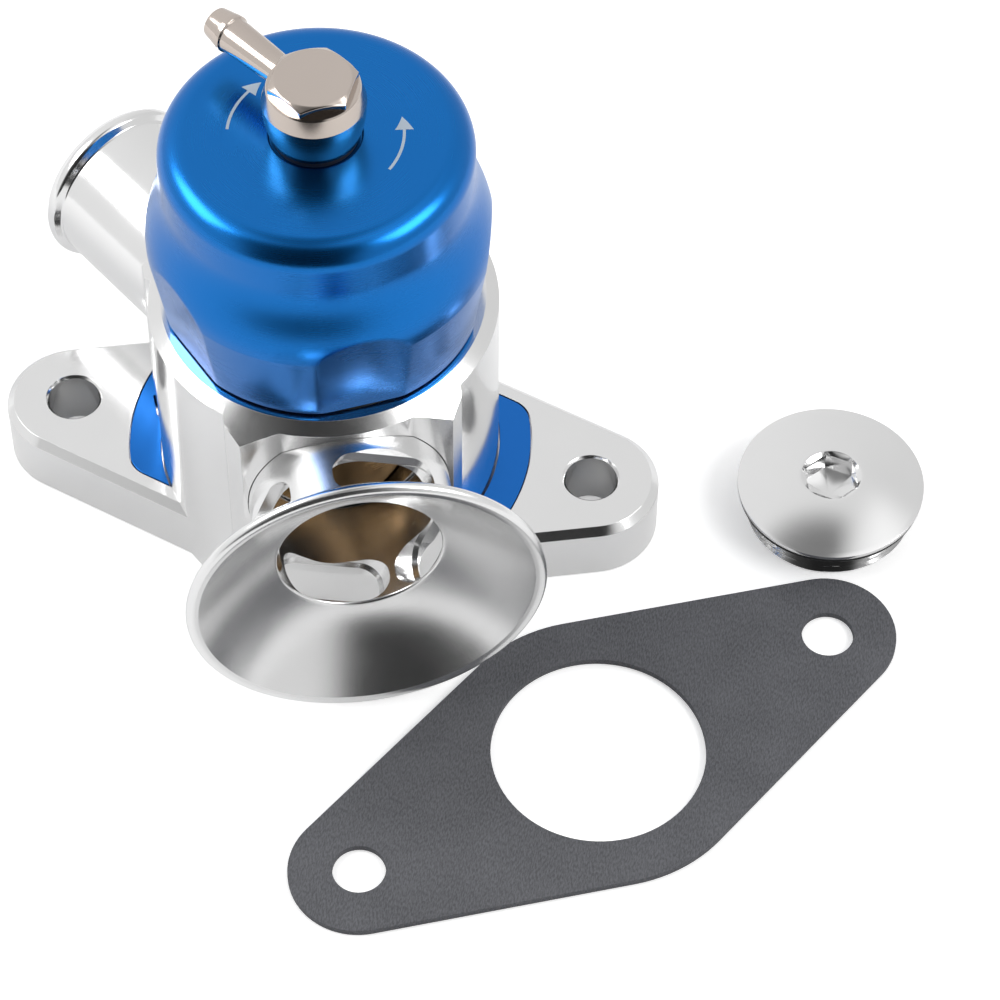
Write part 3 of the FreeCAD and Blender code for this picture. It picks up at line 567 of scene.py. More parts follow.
@dataclass(frozen=True)
class SoftFinish:
    """A plain surface that isn't metal: rubber, polymer or print.

    Attributes:
        name: name of the material.
        colour: linear base colour.
        roughness: mean roughness.
        grain: depth of its fine grain in mm.
    """

    name: str
    colour: tuple[float, float, float, float]
    roughness: float
    grain: float = 0.01

    def material(self) -> bpy.types.Material:
        """Build the material from a cloudy noise and a fine grain."""
        made, graph = new_material(self.name)
        cloud = graph.noise(graph.place(), SOFT_CLOUDS)
        grain = graph.noise(graph.place(), SOFT_GRAIN, 2.0)
        graph.surface({
            "Base Color": graph.colour_mix(cloud * SOFT_TINT + (1.0 - SOFT_TINT), BLACK, self.colour),
            "Roughness": (cloud - 0.5) * 0.1 + self.roughness,
            "Normal": graph.bump(grain, self.grain),
        })
        return made


@dataclass(frozen=True)
class FibreFinish:
    """Pressed gasket fibre: dark grey with lighter and darker fibres.

    Attributes:
        name: name of the material.
        dark: colour of the dark fibres.
        light: colour of the light fibres.
    """

    name: str
    dark: tuple[float, float, float, float]
    light: tuple[float, float, float, float]

    def material(self) -> bpy.types.Material:
        """Build the material from two noises of unlike size, one drawn out into short fibres."""
        made, graph = new_material(self.name)
        lengthwise = graph.node("ShaderNodeMapping", {
            "Vector": graph.place(), "Rotation": (0.0, 0.0, FIBRE_TURN), "Scale": FIBRE_STRETCH})
        fibres = graph.noise(lengthwise.outputs[0], FIBRES, 6.0)
        specks = graph.noise(graph.place(), FIBRE_SPECKS, 2.0)
        cloud = graph.noise(graph.place(), FIBRE_CLOUDS)
        share = fibres.step_between(0.3, 0.7) * 0.45 + specks * 0.25 + cloud * 0.3
        graph.surface({
            "Base Color": graph.colour_mix(share, self.dark, self.light),
            "Roughness": 0.86,
            "Normal": graph.bump(fibres * 0.6 + specks * 0.4, 0.12),
        })
        return made


ALUMINIUM = (0.86, 0.86, 0.86, 1.0)
ANODISED_BLUE = srgb(20, 114, 196)


class Finishes:
    """The materials of the valve, made once and shared by its pieces."""

    def __init__(self) -> None:
        """Make every material."""
        self.body = MetalFinish("polished_billet", ALUMINIUM, 0.16, 0.05, marks=0.0008).material()
        self.inlay = MetalFinish("inlay_blue", srgb(34, 112, 200), 0.3, 0.04, 0.1, 0.2).material()
        self.cap = MetalFinish(
            "anodised_cap", ANODISED_BLUE, 0.27, 0.03, 0.15, 0.2, VALVE_AXIS, 0.22).material()
        self.nickel = MetalFinish("nickel_plate", (0.6, 0.53, 0.48, 1.0), 0.13, 0.03).material()
        self.trumpet = MetalFinish(
            "turned_trumpet", ALUMINIUM, 0.24, 0.06, axis=FRONT_PORT, pitch=0.16, marks=0.001).material()
        self.spigot = MetalFinish("polished_spigot", ALUMINIUM, 0.14, 0.04, axis=REAR_PORT).material()
        # The plug's thread below 5.5 mm gets a painted shade.
        self.plug = MetalFinish(
            "turned_plug", ALUMINIUM, 0.15, 0.05, axis=PLUG_AXIS, shade_below=5.5).material()
        self.brass = MetalFinish(
            "piston_brass", (0.42, 0.26, 0.12, 1.0), 0.26, 0.06, axis=VALVE_AXIS, pitch=0.3).material()
        self.seat = MetalFinish("seat_metal", ALUMINIUM, 0.25, axis=VALVE_AXIS, pitch=0.25).material()
        self.spring = MetalFinish("spring_steel", (0.4, 0.4, 0.41, 1.0), 0.3).material()
        self.rubber = SoftFinish("seal_rubber", (0.012, 0.012, 0.013, 1.0), 0.55).material()
        self.polymer = SoftFinish("guide_polymer", srgb(205, 198, 178), 0.5).material()
        # The washer's dark blue-grey is partly its own fibre colour and partly painted shade for the dark
        # line under the fitting's collar.
        self.washer = SoftFinish("washer_fibre", srgb(34, 36, 46), 0.6).material()
        self.print_ink = SoftFinish("cap_print", srgb(190, 205, 220), 0.6, 0.002).material()
        self.gasket = FibreFinish("gasket_fibre", srgb(56, 57, 60), srgb(112, 113, 118)).material()


# Dressing a piece

# Distance in mm under which two points of a CAD mesh are one
SAME_POINT = 0.002
# Angles in degrees: joined below the first, broken above the second
FLAT_BELOW = 0.6
EDGE_ABOVE = 28.0


def dress(piece: bpy.types.Object, body: str, finish: bpy.types.Material,
          nodes: tuple[str, ...], sharp: float = 40.0) -> bpy.types.Object:
    """Finish a piece and tie it to the frame.

    Args:
        piece: the new object.
        body: the CAD body that it rides on.
        finish: its material.
        nodes: the CAD nodes that it stands for.
        sharp: edges that turn by more degrees than this stay sharp.

    Returns:
        The same object.
    """
    mesh = piece.data
    mesh.polygons.foreach_set("use_smooth", np.ones(len(mesh.polygons), bool))
    mesh.set_sharp_from_angle(angle=math.radians(sharp))
    mesh.materials.clear()
    mesh.materials.append(finish)
    weights = piece.modifiers.new("even_shading", "WEIGHTED_NORMAL")
    weights.keep_sharp = True
    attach(piece, body)
    if nodes:
        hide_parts(*nodes)
    LOG.info("%s: %d faces", piece.name, len(mesh.polygons))
    return piece


def softened_copy(name: str, node: bpy.types.Object, width: float) -> bpy.types.Object:
    """Copy a CAD node's mesh, merge its triangles and break its sharp edges.

    Args:
        name: name of the new object.
        node: the CAD node's object.
        width: width of the broken edges in mm.

    Returns:
        The new object, with the edges applied to its mesh.
    """
    mesh = node.data.copy()
    shape = bmesh.new()
    shape.from_mesh(mesh)
    bmesh.ops.remove_doubles(shape, verts=shape.verts, dist=SAME_POINT * MM)
    flat = math.radians(FLAT_BELOW)
    bmesh.ops.dissolve_limit(shape, angle_limit=flat, verts=shape.verts, edges=shape.edges)
    shape.to_mesh(mesh)
    shape.free()
    piece = bpy.data.objects.new(name, mesh)
    bpy.context.scene.collection.objects.link(piece)
    bevel = piece.modifiers.new("broken_edges", "BEVEL")
    bevel.width = width * MM
    bevel.segments = 3
    bevel.limit_method = "ANGLE"
    bevel.angle_limit = math.radians(EDGE_ABOVE)
    bevel.harden_normals = False
    bake_modifiers(piece)
    return piece


def bake_modifiers(piece: bpy.types.Object) -> None:
    """Apply an object's modifiers to its mesh."""
    graph = bpy.context.evaluated_depsgraph_get()
    mesh = bpy.data.meshes.new_from_object(piece.evaluated_get(graph))
    piece.modifiers.clear()
    piece.data = mesh


# Sub-assemblies

@dataclass
class Billet:
    """The body with its flange and the two blue inlay plates.

    Attributes:
        edge: width of the body's broken edges in mm.
        inlay_edge: width of the inlay plates' broken edges in mm.
    """

    edge: float = 0.3
    inlay_edge: float = 0.12

    def build(self, nodes: dict, finishes: Finishes) -> None:
        """Make the body and the inlays."""
        body = softened_copy("billet", nodes["valve_body"], self.edge)
        dress(body, "valve_body", finishes.body, ("valve_body",))
        for side in ("right", "left"):
            plate = softened_copy("blue_plate_" + side, nodes["inlay_" + side], self.inlay_edge)
            dress(plate, "valve_body", finishes.inlay, ("inlay_" + side,))


@dataclass
class AdjusterCap:
    """The blue cap that screws down over the neck.

    Attributes:
        bottom: height of its lower edge.
        top: height of its lid.
        base: radius at the lower edge.
        skirt: largest radius.
        taper: height over which the skirt widens.
        band: height of the straight band above the taper.
        shoulder: height of the shoulder between the band and the lid's side.
        lid: radius of the lid's side.
        lid_round: radius of the lid's edge.
        thread: radius of the thread.
        thread_top: height where the thread ends.
        cavity: radius of the room for the spring seat.
        ceiling: height of the roof's underside.
        spot: radius of the spot face.
        spot_depth: depth of the spot face.
        hole: radius of the fitting's hole.
        facets: number of finger facets.
        facet_depth: how far a facet lies inside the taper.
        facet_azimuth: direction of the first facet in degrees.
        blend: width over which a facet's edge is softened.
    """

    bottom: float = 48.3
    top: float = 84.8
    base: float = 24.65
    skirt: float = 26.75
    taper: float = 14.4
    band: float = 0.8
    shoulder: float = 12.5
    lid: float = 23.9
    lid_round: float = 4.2
    thread: float = 22.1
    thread_top: float = 66.2
    cavity: float = 19.8
    ceiling: float = 78.8
    spot: float = 7.0
    spot_depth: float = 0.6
    hole: float = 4.8
    facets: int = 5
    facet_depth: float = 1.0
    facet_azimuth: float = -63.0
    blend: float = 0.045

    def profile(self) -> np.ndarray:
        """The cap's closed profile, rounded at every edge.

        Above the band the radius falls from the skirt's to the lid's along half a cosine wave
        over the shoulder's height, so it meets both without a crease.
        """
        band_low = self.bottom + self.taper
        band_top = band_low + self.band
        side_top = self.top - self.lid_round
        rise = np.linspace(0.0, side_top - band_top, 40)
        share = np.minimum(rise / self.shoulder, 1.0)
        side = self.lid + (self.skirt - self.lid) * (1.0 + np.cos(math.pi * share)) / 2.0
        corners = [
            (self.thread, self.bottom, 0.4),
            (self.base, self.bottom, 0.45),
            (self.skirt, band_low, 1.5),
            *curve(side[:-1], band_top + rise[:-1]),
            *arc_points((self.lid - self.lid_round, side_top), self.lid_round, 0.0, 90.0, 18),
            (self.spot, self.top, 0.25),
            (self.spot, self.top - self.spot_depth, 0.1),
            (self.hole, self.top - self.spot_depth, 0.2),
            (self.hole, self.ceiling, 0.2),
            (self.cavity, self.ceiling, 0.4),
            (self.cavity, self.thread_top, 0.3),
            (self.thread, self.thread_top, 0.3),
        ]
        return refined(rounded_profile(corners), 0.4, self.bottom, self.top - self.lid_round)

    def shell(self) -> bpy.types.Object:
        """Turn the profile and cut the finger facets.

        A facet is a plane whose distance from the axis grows with height as the taper does. Each
        point takes the smaller of its own radius and the plane's.
        """
        profile = self.profile()
        radius, height = profile[:, :1], profile[:, 1:]
        angle = angles(columns=600)
        period = FULL_TURN / self.facets
        offset = (angle - math.radians(self.facet_azimuth) + period / 2) % period - period / 2
        lean = (self.skirt - self.base) / self.taper
        plane = (self.base - self.facet_depth + lean * (height - self.bottom)) / np.cos(offset)
        outside = radius > self.thread + 1.0
        radius = np.where(outside, smaller(radius, plane, self.blend), radius)
        return lathed("cap_shell", radius, height, VALVE_AXIS)

    def build(self, finishes: Finishes) -> None:
        """Make the cap."""
        dress(self.shell(), "adjuster_cap", finishes.cap, ("adjuster_cap",))


@dataclass
class Arrow:
    """A printed arrow on the lid that bends round the cap's axis.

    Attributes:
        name: name of the piece.
        azimuth: direction of the middle of its bar in degrees.
        radius: distance of its bar from the axis.
        sweep: angle of its bar in degrees; the head is at its end.
        width: width of the bar.
        head: length of the head.
        head_width: width of the head.
        ink: thickness of the print.
        lift: height of the print's face over the lid.
        tip: half of the width in which the head ends.
    """

    name: str
    azimuth: float
    radius: float
    sweep: float
    width: float = 0.45
    head: float = 2.6
    head_width: float = 2.8
    ink: float = 0.03
    lift: float = 0.02
    tip: float = 0.01

    def build(self, top: float, finishes: Finishes) -> None:
        """Lay the arrow on the lid.

        A row of points across the arrow is carried along an arc; its half width is that of the
        bar, then that of the head, which narrows to the tip.

        Args:
            top: height of the lid.
            finishes: the materials.
        """
        bar_rows, head_rows, columns = 40, 6, 5
        sign = math.copysign(1.0, self.sweep)
        head_angle = sign * math.degrees(self.head / self.radius)
        bar = np.linspace(-self.sweep / 2, self.sweep / 2, bar_rows)
        head = np.linspace(self.sweep / 2, self.sweep / 2 + head_angle, head_rows)
        angle = np.radians(self.azimuth + np.concatenate([bar, head]))
        half = np.concatenate([
            np.full(bar_rows, self.width / 2),
            np.linspace(self.head_width / 2, self.tip, head_rows),
        ])
        across = np.linspace(-1.0, 1.0, columns)[None, :]
        radius = self.radius + half[:, None] * across
        x = radius * np.cos(angle)[:, None]
        y = radius * np.sin(angle)[:, None]
        points = VALVE_AXIS.place(x, y, np.full_like(x, top + self.lift))
        piece = mesh_object(self.name, points, grid_faces(len(angle), columns, False, False))
        skin = piece.modifiers.new("ink", "SOLIDIFY")
        skin.thickness = self.ink * MM
        skin.offset = -1.0
        bake_modifiers(piece)
        dress(piece, "adjuster_cap", finishes.print_ink, ())


@dataclass
class HoseFitting:
    """The plated fitting on the cap: a round collar under a low hexagon, with a side barb.

    Attributes:
        bottom: height of the collar's underside.
        foot: radius of the collar at its underside, from which it bulges out to the rim.
        rim: radius of the collar's rim.
        rim_height: height of the rim above the underside.
        shoulder: radius of the shoulder under the hexagon.
        shoulder_height: height of the shoulder above the underside.
        flats: distance between the hexagon's flats.
        hex_height: height of the hexagon.
        bevel: radius where the top's bevel starts.
        bevel_drop: fall of the bevel at the shoulder's radius.
        thread: radius of the threaded shank.
        thread_length: length of the shank.
        blend: width over which an edge of the hexagon is softened.
        azimuth: direction of the barb in degrees.
        barb_height: height of the barb's axis above the underside.
        passage: radius of the barb's bore.
        pipe: outer radius of the barb at the collar.
        ridge: distance of the ridge from the valve axis.
        ridge_radius: radius of the ridge.
        tip: distance of the barb's end from the valve axis.
    """

    bottom: float = 85.1
    foot: float = 6.45
    rim: float = 7.85
    rim_height: float = 7.0
    shoulder: float = 7.0
    shoulder_height: float = 10.0
    flats: float = 12.0
    hex_height: float = 1.7
    bevel: float = 5.77
    bevel_drop: float = 0.8
    thread: float = 4.7
    thread_length: float = 5.0
    blend: float = 0.05
    azimuth: float = 146.2
    barb_height: float = 7.75
    passage: float = 1.5
    pipe: float = 2.4
    ridge: float = 17.4
    ridge_radius: float = 3.08
    tip: float = 21.3

    def collar(self) -> bpy.types.Object:
        """Turn the collar and give its top the hexagon's six flats.

        Above the shoulder each point takes the smaller of the bevelled radius and the distance
        to the nearest flat, softened as on the cap.
        """
        hex_low = self.bottom + self.shoulder_height
        top = hex_low + self.hex_height
        corner = self.flats / 2 / math.cos(math.pi / 6)
        slope = self.bevel_drop / (self.shoulder - self.bevel)
        rises = np.linspace(0.4, self.rim_height - 0.7, 14)
        below = 1.0 - rises / (self.rim_height - 0.6)
        bulge = self.rim - 0.03 - (self.rim - self.foot - 0.2) * below ** 2
        corners = [
            (0.0, self.bottom - self.thread_length, 0.0),
            (self.thread - 0.5, self.bottom - self.thread_length, 0.1),
            (self.thread, self.bottom - self.thread_length + 0.5, 0.1),
            (self.thread, self.bottom, 0.1),
            (self.foot, self.bottom, 0.1),
            *curve(bulge, self.bottom + rises),
            (self.rim, self.bottom + self.rim_height, 0.55),
            (self.shoulder + 0.1, hex_low - 0.25, 0.6),
            (corner + 0.02, hex_low, 0.15),
            (corner, top - slope * (corner - self.bevel), 0.15),
            (self.bevel, top, 0.25),
            (0.0, top, 0.0),
        ]
        profile = refined(rounded_profile(corners, 6), 0.12, hex_low - 0.6, top + 0.1)
        radius, height = profile[:, :1], profile[:, 1:]
        offset = (angles(columns=480) - math.radians(self.azimuth)) % (FULL_TURN / 6) - FULL_TURN / 12
        flat = self.flats / 2 / np.cos(offset)
        hexagonal = (height > hex_low - 0.02) & (radius > 1.0)
        radius = np.where(hexagonal, smaller(radius, flat, self.blend), radius)
        return lathed("fitting_collar", radius, height, VALVE_AXIS)

    def barb(self) -> bpy.types.Object:
        """Turn the side pipe with its one ridge and its open bore."""
        axis = Axis(self.azimuth, self.bottom + self.barb_height)
        start = self.rim - 2.35
        corners = [
            (self.passage, start, 0.0),
            (self.pipe, start, 0.0),
            (self.pipe, self.rim, 0.0),
            (self.pipe + 0.4, self.ridge - 0.1, 0.1),
            (self.ridge_radius, self.ridge + 0.1, 0.12),
            (self.ridge_radius - 0.06, self.ridge + 0.9, 0.6),
            (self.pipe + 0.05, self.tip, 0.35),
            (self.passage, self.tip, 0.2),
        ]
        return turned("fitting_barb", refined(rounded_profile(corners, 6), 0.8), axis, 128)

    def build(self, finishes: Finishes) -> None:
        """Make the collar and the barb."""
        dress(self.collar(), "hose_fitting", finishes.nickel, ("hose_fitting",))
        dress(self.barb(), "hose_fitting", finishes.nickel, ("hose_barb",))


@dataclass
class Trumpet:
    """The bell mouth on the front port, with four slots in its neck.

    Attributes:
        shank_start: distance of the shank's end from the valve axis.
        thread: radius of the threaded shank.
        collar: outer radius of the neck.
        collar_start: distance where the collar begins.
        bore: inner radius of the neck.
        neck_end: distance where the flare begins.
        bowl: depth by which the bell's wall hangs behind a straight cone.
        flare_lead: how far the outside begins to flare before the inside.
        reach: distance of the mouth from the valve axis.
        mouth_inset: how far the inside of the bell ends behind the mouth.
        rim: outer radius of the rim.
        bead: thickness of the rim.
        slots: number of slots.
        slot_turn: clock angle of the first slot from the top, towards the left as seen from outside.
        slot_width: width of a slot round the neck.
        slot_length: length of a slot along the axis.
        slot_start: distance where the slots begin.
        slot_corner: radius of a slot's corners.
        slot_bevel: width of the bevel round a slot.
    """

    shank_start: float = 18.7
    thread: float = 13.9
    collar: float = 15.8
    collar_start: float = 24.3
    bore: float = 12.9
    neck_end: float = 37.6
    bowl: float = 0.9
    flare_lead: float = 0.9
    reach: float = 46.66
    mouth_inset: float = 0.25
    rim: float = 27.94
    bead: float = 1.9
    slots: int = 4
    slot_turn: float = -20.0
    slot_width: float = 16.6
    slot_length: float = 6.9
    slot_start: float = 30.0
    slot_corner: float = 3.0
    slot_bevel: float = 0.45

    def profile(self) -> np.ndarray:
        """The trumpet's closed profile: shank, neck, bowl-shaped bell and rolled rim.

        Each side of the bell's wall is a straight cone with a parabola of the bowl's depth
        taken from its distance along the axis.
        """
        share = np.linspace(0.0, 1.0, 20)
        hang = 4.0 * self.bowl * share * (1.0 - share)
        outer_start = self.neck_end - self.flare_lead
        inner_r = self.bore + (self.rim - self.bead - self.bore) * share
        inner_v = self.neck_end + (self.reach - self.mouth_inset - self.neck_end) * share - hang
        outer_r = self.collar + (self.rim - self.bead - self.collar) * share
        outer_v = outer_start + (self.reach - self.bead - outer_start) * share - hang
        inner = curve(inner_r[1:], inner_v[1:])
        outer = curve(outer_r[1:-1], outer_v[1:-1])
        half = self.bead / 2
        rim = arc_points((self.rim - half, self.reach - half), half, -90.0, 90.0, 12)
        corners = [
            (self.bore, self.shank_start, 0.3),
            (self.thread, self.shank_start, 0.4),
            (self.thread, self.collar_start, 0.1),
            (self.collar, self.collar_start, 0.35),
            (self.collar, outer_start, 0.6),
            *outer,
            (self.rim - self.bead, self.reach - self.bead, 0.3),
            *rim,
            *reversed(inner),
            (self.bore, self.neck_end, 0.5),
        ]
        return refined(rounded_profile(corners, 5), 0.9)

    def cutter(self, turn: float) -> bpy.types.Object:
        """A slot's tool: a rounded rectangle carried outwards, wider beyond the neck's surfaces.

        Args:
            turn: clock angle of the slot in degrees.

        Returns:
            The tool as an object.
        """
        steps = 8
        half_width = self.slot_width / 2 - self.slot_corner
        half_length = self.slot_length / 2 - self.slot_corner
        outline = []
        for start, side, end in ((0, 1, 1), (90, -1, 1), (180, -1, -1), (270, 1, -1)):
            bend = np.radians(np.linspace(start, start + 90, steps + 1))
            outline.append(np.stack([side * half_width + 0 * bend, end * half_length + 0 * bend, bend], 1))
        outline = np.concatenate(outline)
        tool_foot = self.bore - 5.9
        tool_top = self.collar + 4.0
        margin = 0.35
        wide = self.slot_bevel + margin + 0.25
        levels = [
            (tool_foot, self.slot_bevel), (self.bore - self.slot_bevel, self.slot_bevel),
            (self.bore + margin, 0.0), (self.collar - self.slot_bevel - 0.25, 0.0),
            (self.collar + margin, wide), (tool_top, wide),
        ]
        rows = []
        angle = math.radians(turn)
        middle = self.slot_start + self.slot_length / 2
        for out, growth in levels:
            reach = self.slot_corner + growth
            sideways = outline[:, 0] + reach * np.cos(outline[:, 2])
            along = outline[:, 1] + reach * np.sin(outline[:, 2]) + middle
            up = out * math.cos(angle) - sideways * math.sin(angle)
            left = out * math.sin(angle) + sideways * math.cos(angle)
            rows.append(FRONT_PORT.place(up, left, along))
        points = np.concatenate(rows)
        count = len(outline)
        piece = mesh_object("slot_tool", points, grid_faces(len(levels), count, False, True))
        return capped(piece)

    def build(self, finishes: Finishes) -> None:
        """Turn the bell, cut the slots and dress it."""
        bell = turned("trumpet_bell", self.profile(), FRONT_PORT, 288)
        step = 360.0 / self.slots
        tools = [self.cutter(self.slot_turn + step * number) for number in range(self.slots)]
        for tool in tools:
            cut = bell.modifiers.new("slot", "BOOLEAN")
            cut.operation = "DIFFERENCE"
            cut.solver = "EXACT"
            cut.object = tool
        bpy.context.view_layer.update()
        bake_modifiers(bell)
        for tool in tools:
            bpy.data.objects.remove(tool)
        dress(bell, "trumpet", finishes.trumpet, ("trumpet",), 25.0)


@dataclass
class Spigot:
    """The rear hose spigot: a plain pipe with a rolled bead.

    Attributes:
        start: distance of its inner end from the valve axis.
        radius: outer radius of the pipe.
        wall: wall of the pipe.
        reach: distance of its mouth from the valve axis.
        bead: radius of the bead.
        bead_width: width of the bead.
    """

    start: float = 19.1
    radius: float = 13.1
    wall: float = 2.0
    reach: float = 57.0
    bead: float = 14.35
    bead_width: float = 3.8

    def build(self, finishes: Finishes) -> None:
        """Turn the pipe and its bead."""
        bead_start = self.reach - self.bead_width
        corners = [
            (self.radius - self.wall, self.start, 0.2),
            (self.radius, self.start, 0.2),
            (self.radius, bead_start, 0.5),
            (self.bead, bead_start + 0.9, 0.9),
            (self.bead, self.reach - 1.6, 1.6),
            (self.radius - 0.1, self.reach, 0.5),
            (self.radius - self.wall, self.reach, 0.4),
        ]
        pipe = turned("spigot_pipe", refined(rounded_profile(corners, 8), 1.5), REAR_PORT, 256)
        dress(pipe, "valve_body", finishes.spigot, ("recirculation_spigot",))


@dataclass
class BlankingPlug:
    """The loose plug: a domed head with a hexagon socket over a threaded shank.

    Attributes:
        turn: direction of a socket corner in degrees.
        thread: radius of the thread's crests.
        rim: radius of the head.
        rim_low: height of the head's underside.
        rim_high: height where the dome begins.
        dome: height of the dome.
        flats: distance between the socket's flats.
        depth: depth of the socket.
        point: depth of the drill point below it.
        mouth: radius of the socket's countersink.
        pitch: pitch of the thread.
        thread_depth: depth of the thread.
        undercut: depth of the groove between the thread and the head.
    """

    turn: float = 48.0
    thread: float = 13.9
    rim: float = 15.27
    rim_low: float = 5.4
    rim_high: float = 6.4
    dome: float = 2.15
    flats: float = 8.0
    depth: float = 4.2
    point: float = 1.4
    mouth: float = 4.97
    pitch: float = 1.5
    thread_depth: float = 0.7
    undercut: float = 0.9

    def build(self, finishes: Finishes) -> None:
        """Make the plug from one grid of radius and angle.

        The dome is an arc through the rim and the mouth. In the socket each row's radius runs
        from a circle to a hexagon. The thread is a triangle wave of height less angle.
        """
        thread_rows = 34
        ball = (self.rim ** 2 + self.dome ** 2) / (2 * self.dome)
        crown = self.rim_high + self.dome
        edge = math.degrees(math.asin(self.rim / ball))
        inner = math.degrees(math.asin(self.mouth / ball))
        dome = arc_points((0.0, crown - ball), ball, 90.0 - edge, 90.0 - inner, 24)
        mouth_height = dome[-1][1]
        core = self.flats / 2
        low = crown - self.depth
        root = self.thread - self.undercut
        top_of_walls = mouth_height - (self.mouth - core) * 0.6
        rows = [
            (0.0, 0.0, 0.0), (self.thread - 0.6, 0.0, 0.0),
            *curve(np.full(thread_rows, self.thread), np.linspace(0.35, self.rim_low - 0.9, thread_rows)),
            (root, self.rim_low - 0.8, 0.0), (root, self.rim_low, 0.0),
            (self.rim - 0.35, self.rim_low, 0.0), (self.rim - 0.05, self.rim_low + 0.25, 0.0),
            (self.rim, self.rim_low + 0.5, 0.0), (self.rim, self.rim_high - 0.05, 0.0),
            *dome[1:],
            (self.mouth - 0.1, mouth_height - 0.03, 0.0),
            (core * 1.02, top_of_walls, 1.0),
            (core, top_of_walls - 0.4, 1.0), (core, low, 1.0),
            (core * 0.985, low - 0.02, 0.9), (0.0, low - self.point, 0.0),
        ]
        table = np.array(rows)
        radius, height, hexness = table[:, :1], table[:, 1:2], table[:, 2:]
        angle = angles(columns=360)
        offset = (angle - math.radians(self.turn)) % (FULL_TURN / 6) - FULL_TURN / 12
        radius = radius * (1 - hexness + hexness / np.cos(offset))
        threaded = (np.abs(radius - self.thread) < 1e-6) & (height < self.rim_low - 0.85)
        phase = (height / self.pitch - angle / FULL_TURN) % 1.0
        ridge = np.minimum(np.abs(phase - 0.5) * 2.4, 1.0)
        radius = np.where(threaded, radius - self.thread_depth * ridge, radius)
        plug = lathed("plug_head", radius, height, PLUG_AXIS, closed=False)
        dress(plug, "blanking_plug", finishes.plug, ("blanking_plug",), 28.0)


@dataclass
class Gasket:
    """The loose fibre gasket.

    Attributes:
        edge: width of its worn edge in mm.
    """

    edge: float = 0.1

    def build(self, nodes: dict, finishes: Finishes) -> None:
        """Copy the flat sheet, soften its edges and dress it."""
        sheet = softened_copy("gasket_sheet", nodes["gasket"], self.edge)
        dress(sheet, "gasket", finishes.gasket, ("gasket",))


@dataclass
class Piston:
    """The brass piston with its ring grooves.

    Attributes:
        bottom: height of its face.
        top: height of its open end.
        radius: outer radius.
        wall: wall of its skirt.
        floor: thickness of its face.
        guide: radius of the spring's guide.
        guide_height: height of that guide.
        groove: radius at the bottom of a ring groove.
        ring: width of a ring groove.
        first_ring: height of the upper groove's lower side.
        ring_pitch: distance between the grooves.
        face_ring: mean radius of the groove in its face.
        face_half: half the width of that groove.
        face_depth: depth of that groove.
    """

    bottom: float = 9.3
    top: float = 49.3
    radius: float = 17.75
    wall: float = 2.2
    floor: float = 4.0
    guide: float = 10.9
    guide_height: float = 3.0
    groove: float = 16.7
    ring: float = 1.6
    first_ring: float = 46.8
    ring_pitch: float = 2.6
    face_ring: float = 16.75
    face_half: float = 0.7
    face_depth: float = 1.0

    def build(self, finishes: Finishes) -> None:
        """Turn the piston."""
        inner = self.radius - self.wall
        floor_top = self.bottom + self.floor
        near = self.face_ring - self.face_half
        far = self.face_ring + self.face_half
        deep = self.bottom + self.face_depth
        corners = [
            (0.0, self.bottom, 0.0),
            (near, self.bottom, 0.1), (near, deep, 0.05), (far, deep, 0.05), (far, self.bottom, 0.05),
            (self.radius, self.bottom + 0.3, 0.2),
        ]
        for number in (1, 0):
            low = self.first_ring - self.ring_pitch * number
            corners += [
                (self.radius, low, 0.1), (self.groove, low, 0.1),
                (self.groove, low + self.ring, 0.1), (self.radius, low + self.ring, 0.1),
            ]
        corners += [
            (self.radius, self.top, 0.3), (inner, self.top, 0.3), (inner, floor_top, 0.8),
            (self.guide, floor_top, 0.3), (self.guide, floor_top + self.guide_height, 0.4),
            (0.0, floor_top + self.guide_height, 0.0),
        ]
        cup = turned("piston_cup", rounded_profile(corners), VALVE_AXIS, 256)
        dress(cup, "piston", finishes.brass, ("piston",))


class RingShape(Enum):
    """How a ring's section is drawn."""

    ROUND = "round"
    FLAT = "flat"


@dataclass(frozen=True)
class SealRing:
    """A ring that seals or guides.

    Attributes:
        name: name of the new piece.
        node: the CAD node that it stands for.
        body: the body that it rides on.
        slot: the record's material slot.
        inner: inner radius.
        outer: outer radius.
        low: lower end along its axis.
        high: upper end along its axis.
        shape: section of the ring.
        axis: the axis that it is turned about.
    """

    name: str
    node: str
    body: str
    # slot: name of its material slot, which picks its finish.
    slot: str
    inner: float
    outer: float
    low: float
    high: float
    shape: RingShape = RingShape.ROUND
    axis: Axis = field(default_factory=Axis)

    def build(self, finish: bpy.types.Material) -> None:
        """Turn the ring's section about its axis."""
        thinner = min(self.outer - self.inner, self.high - self.low)
        rounding = thinner * (0.45 if self.shape is RingShape.ROUND else 0.12)
        corners = [
            (self.inner, self.low, rounding), (self.outer, self.low, rounding),
            (self.outer, self.high, rounding), (self.inner, self.high, rounding),
        ]
        ring = turned(self.name, rounded_profile(corners, 6), self.axis, 160)
        dress(ring, self.body, finish, (self.node,))


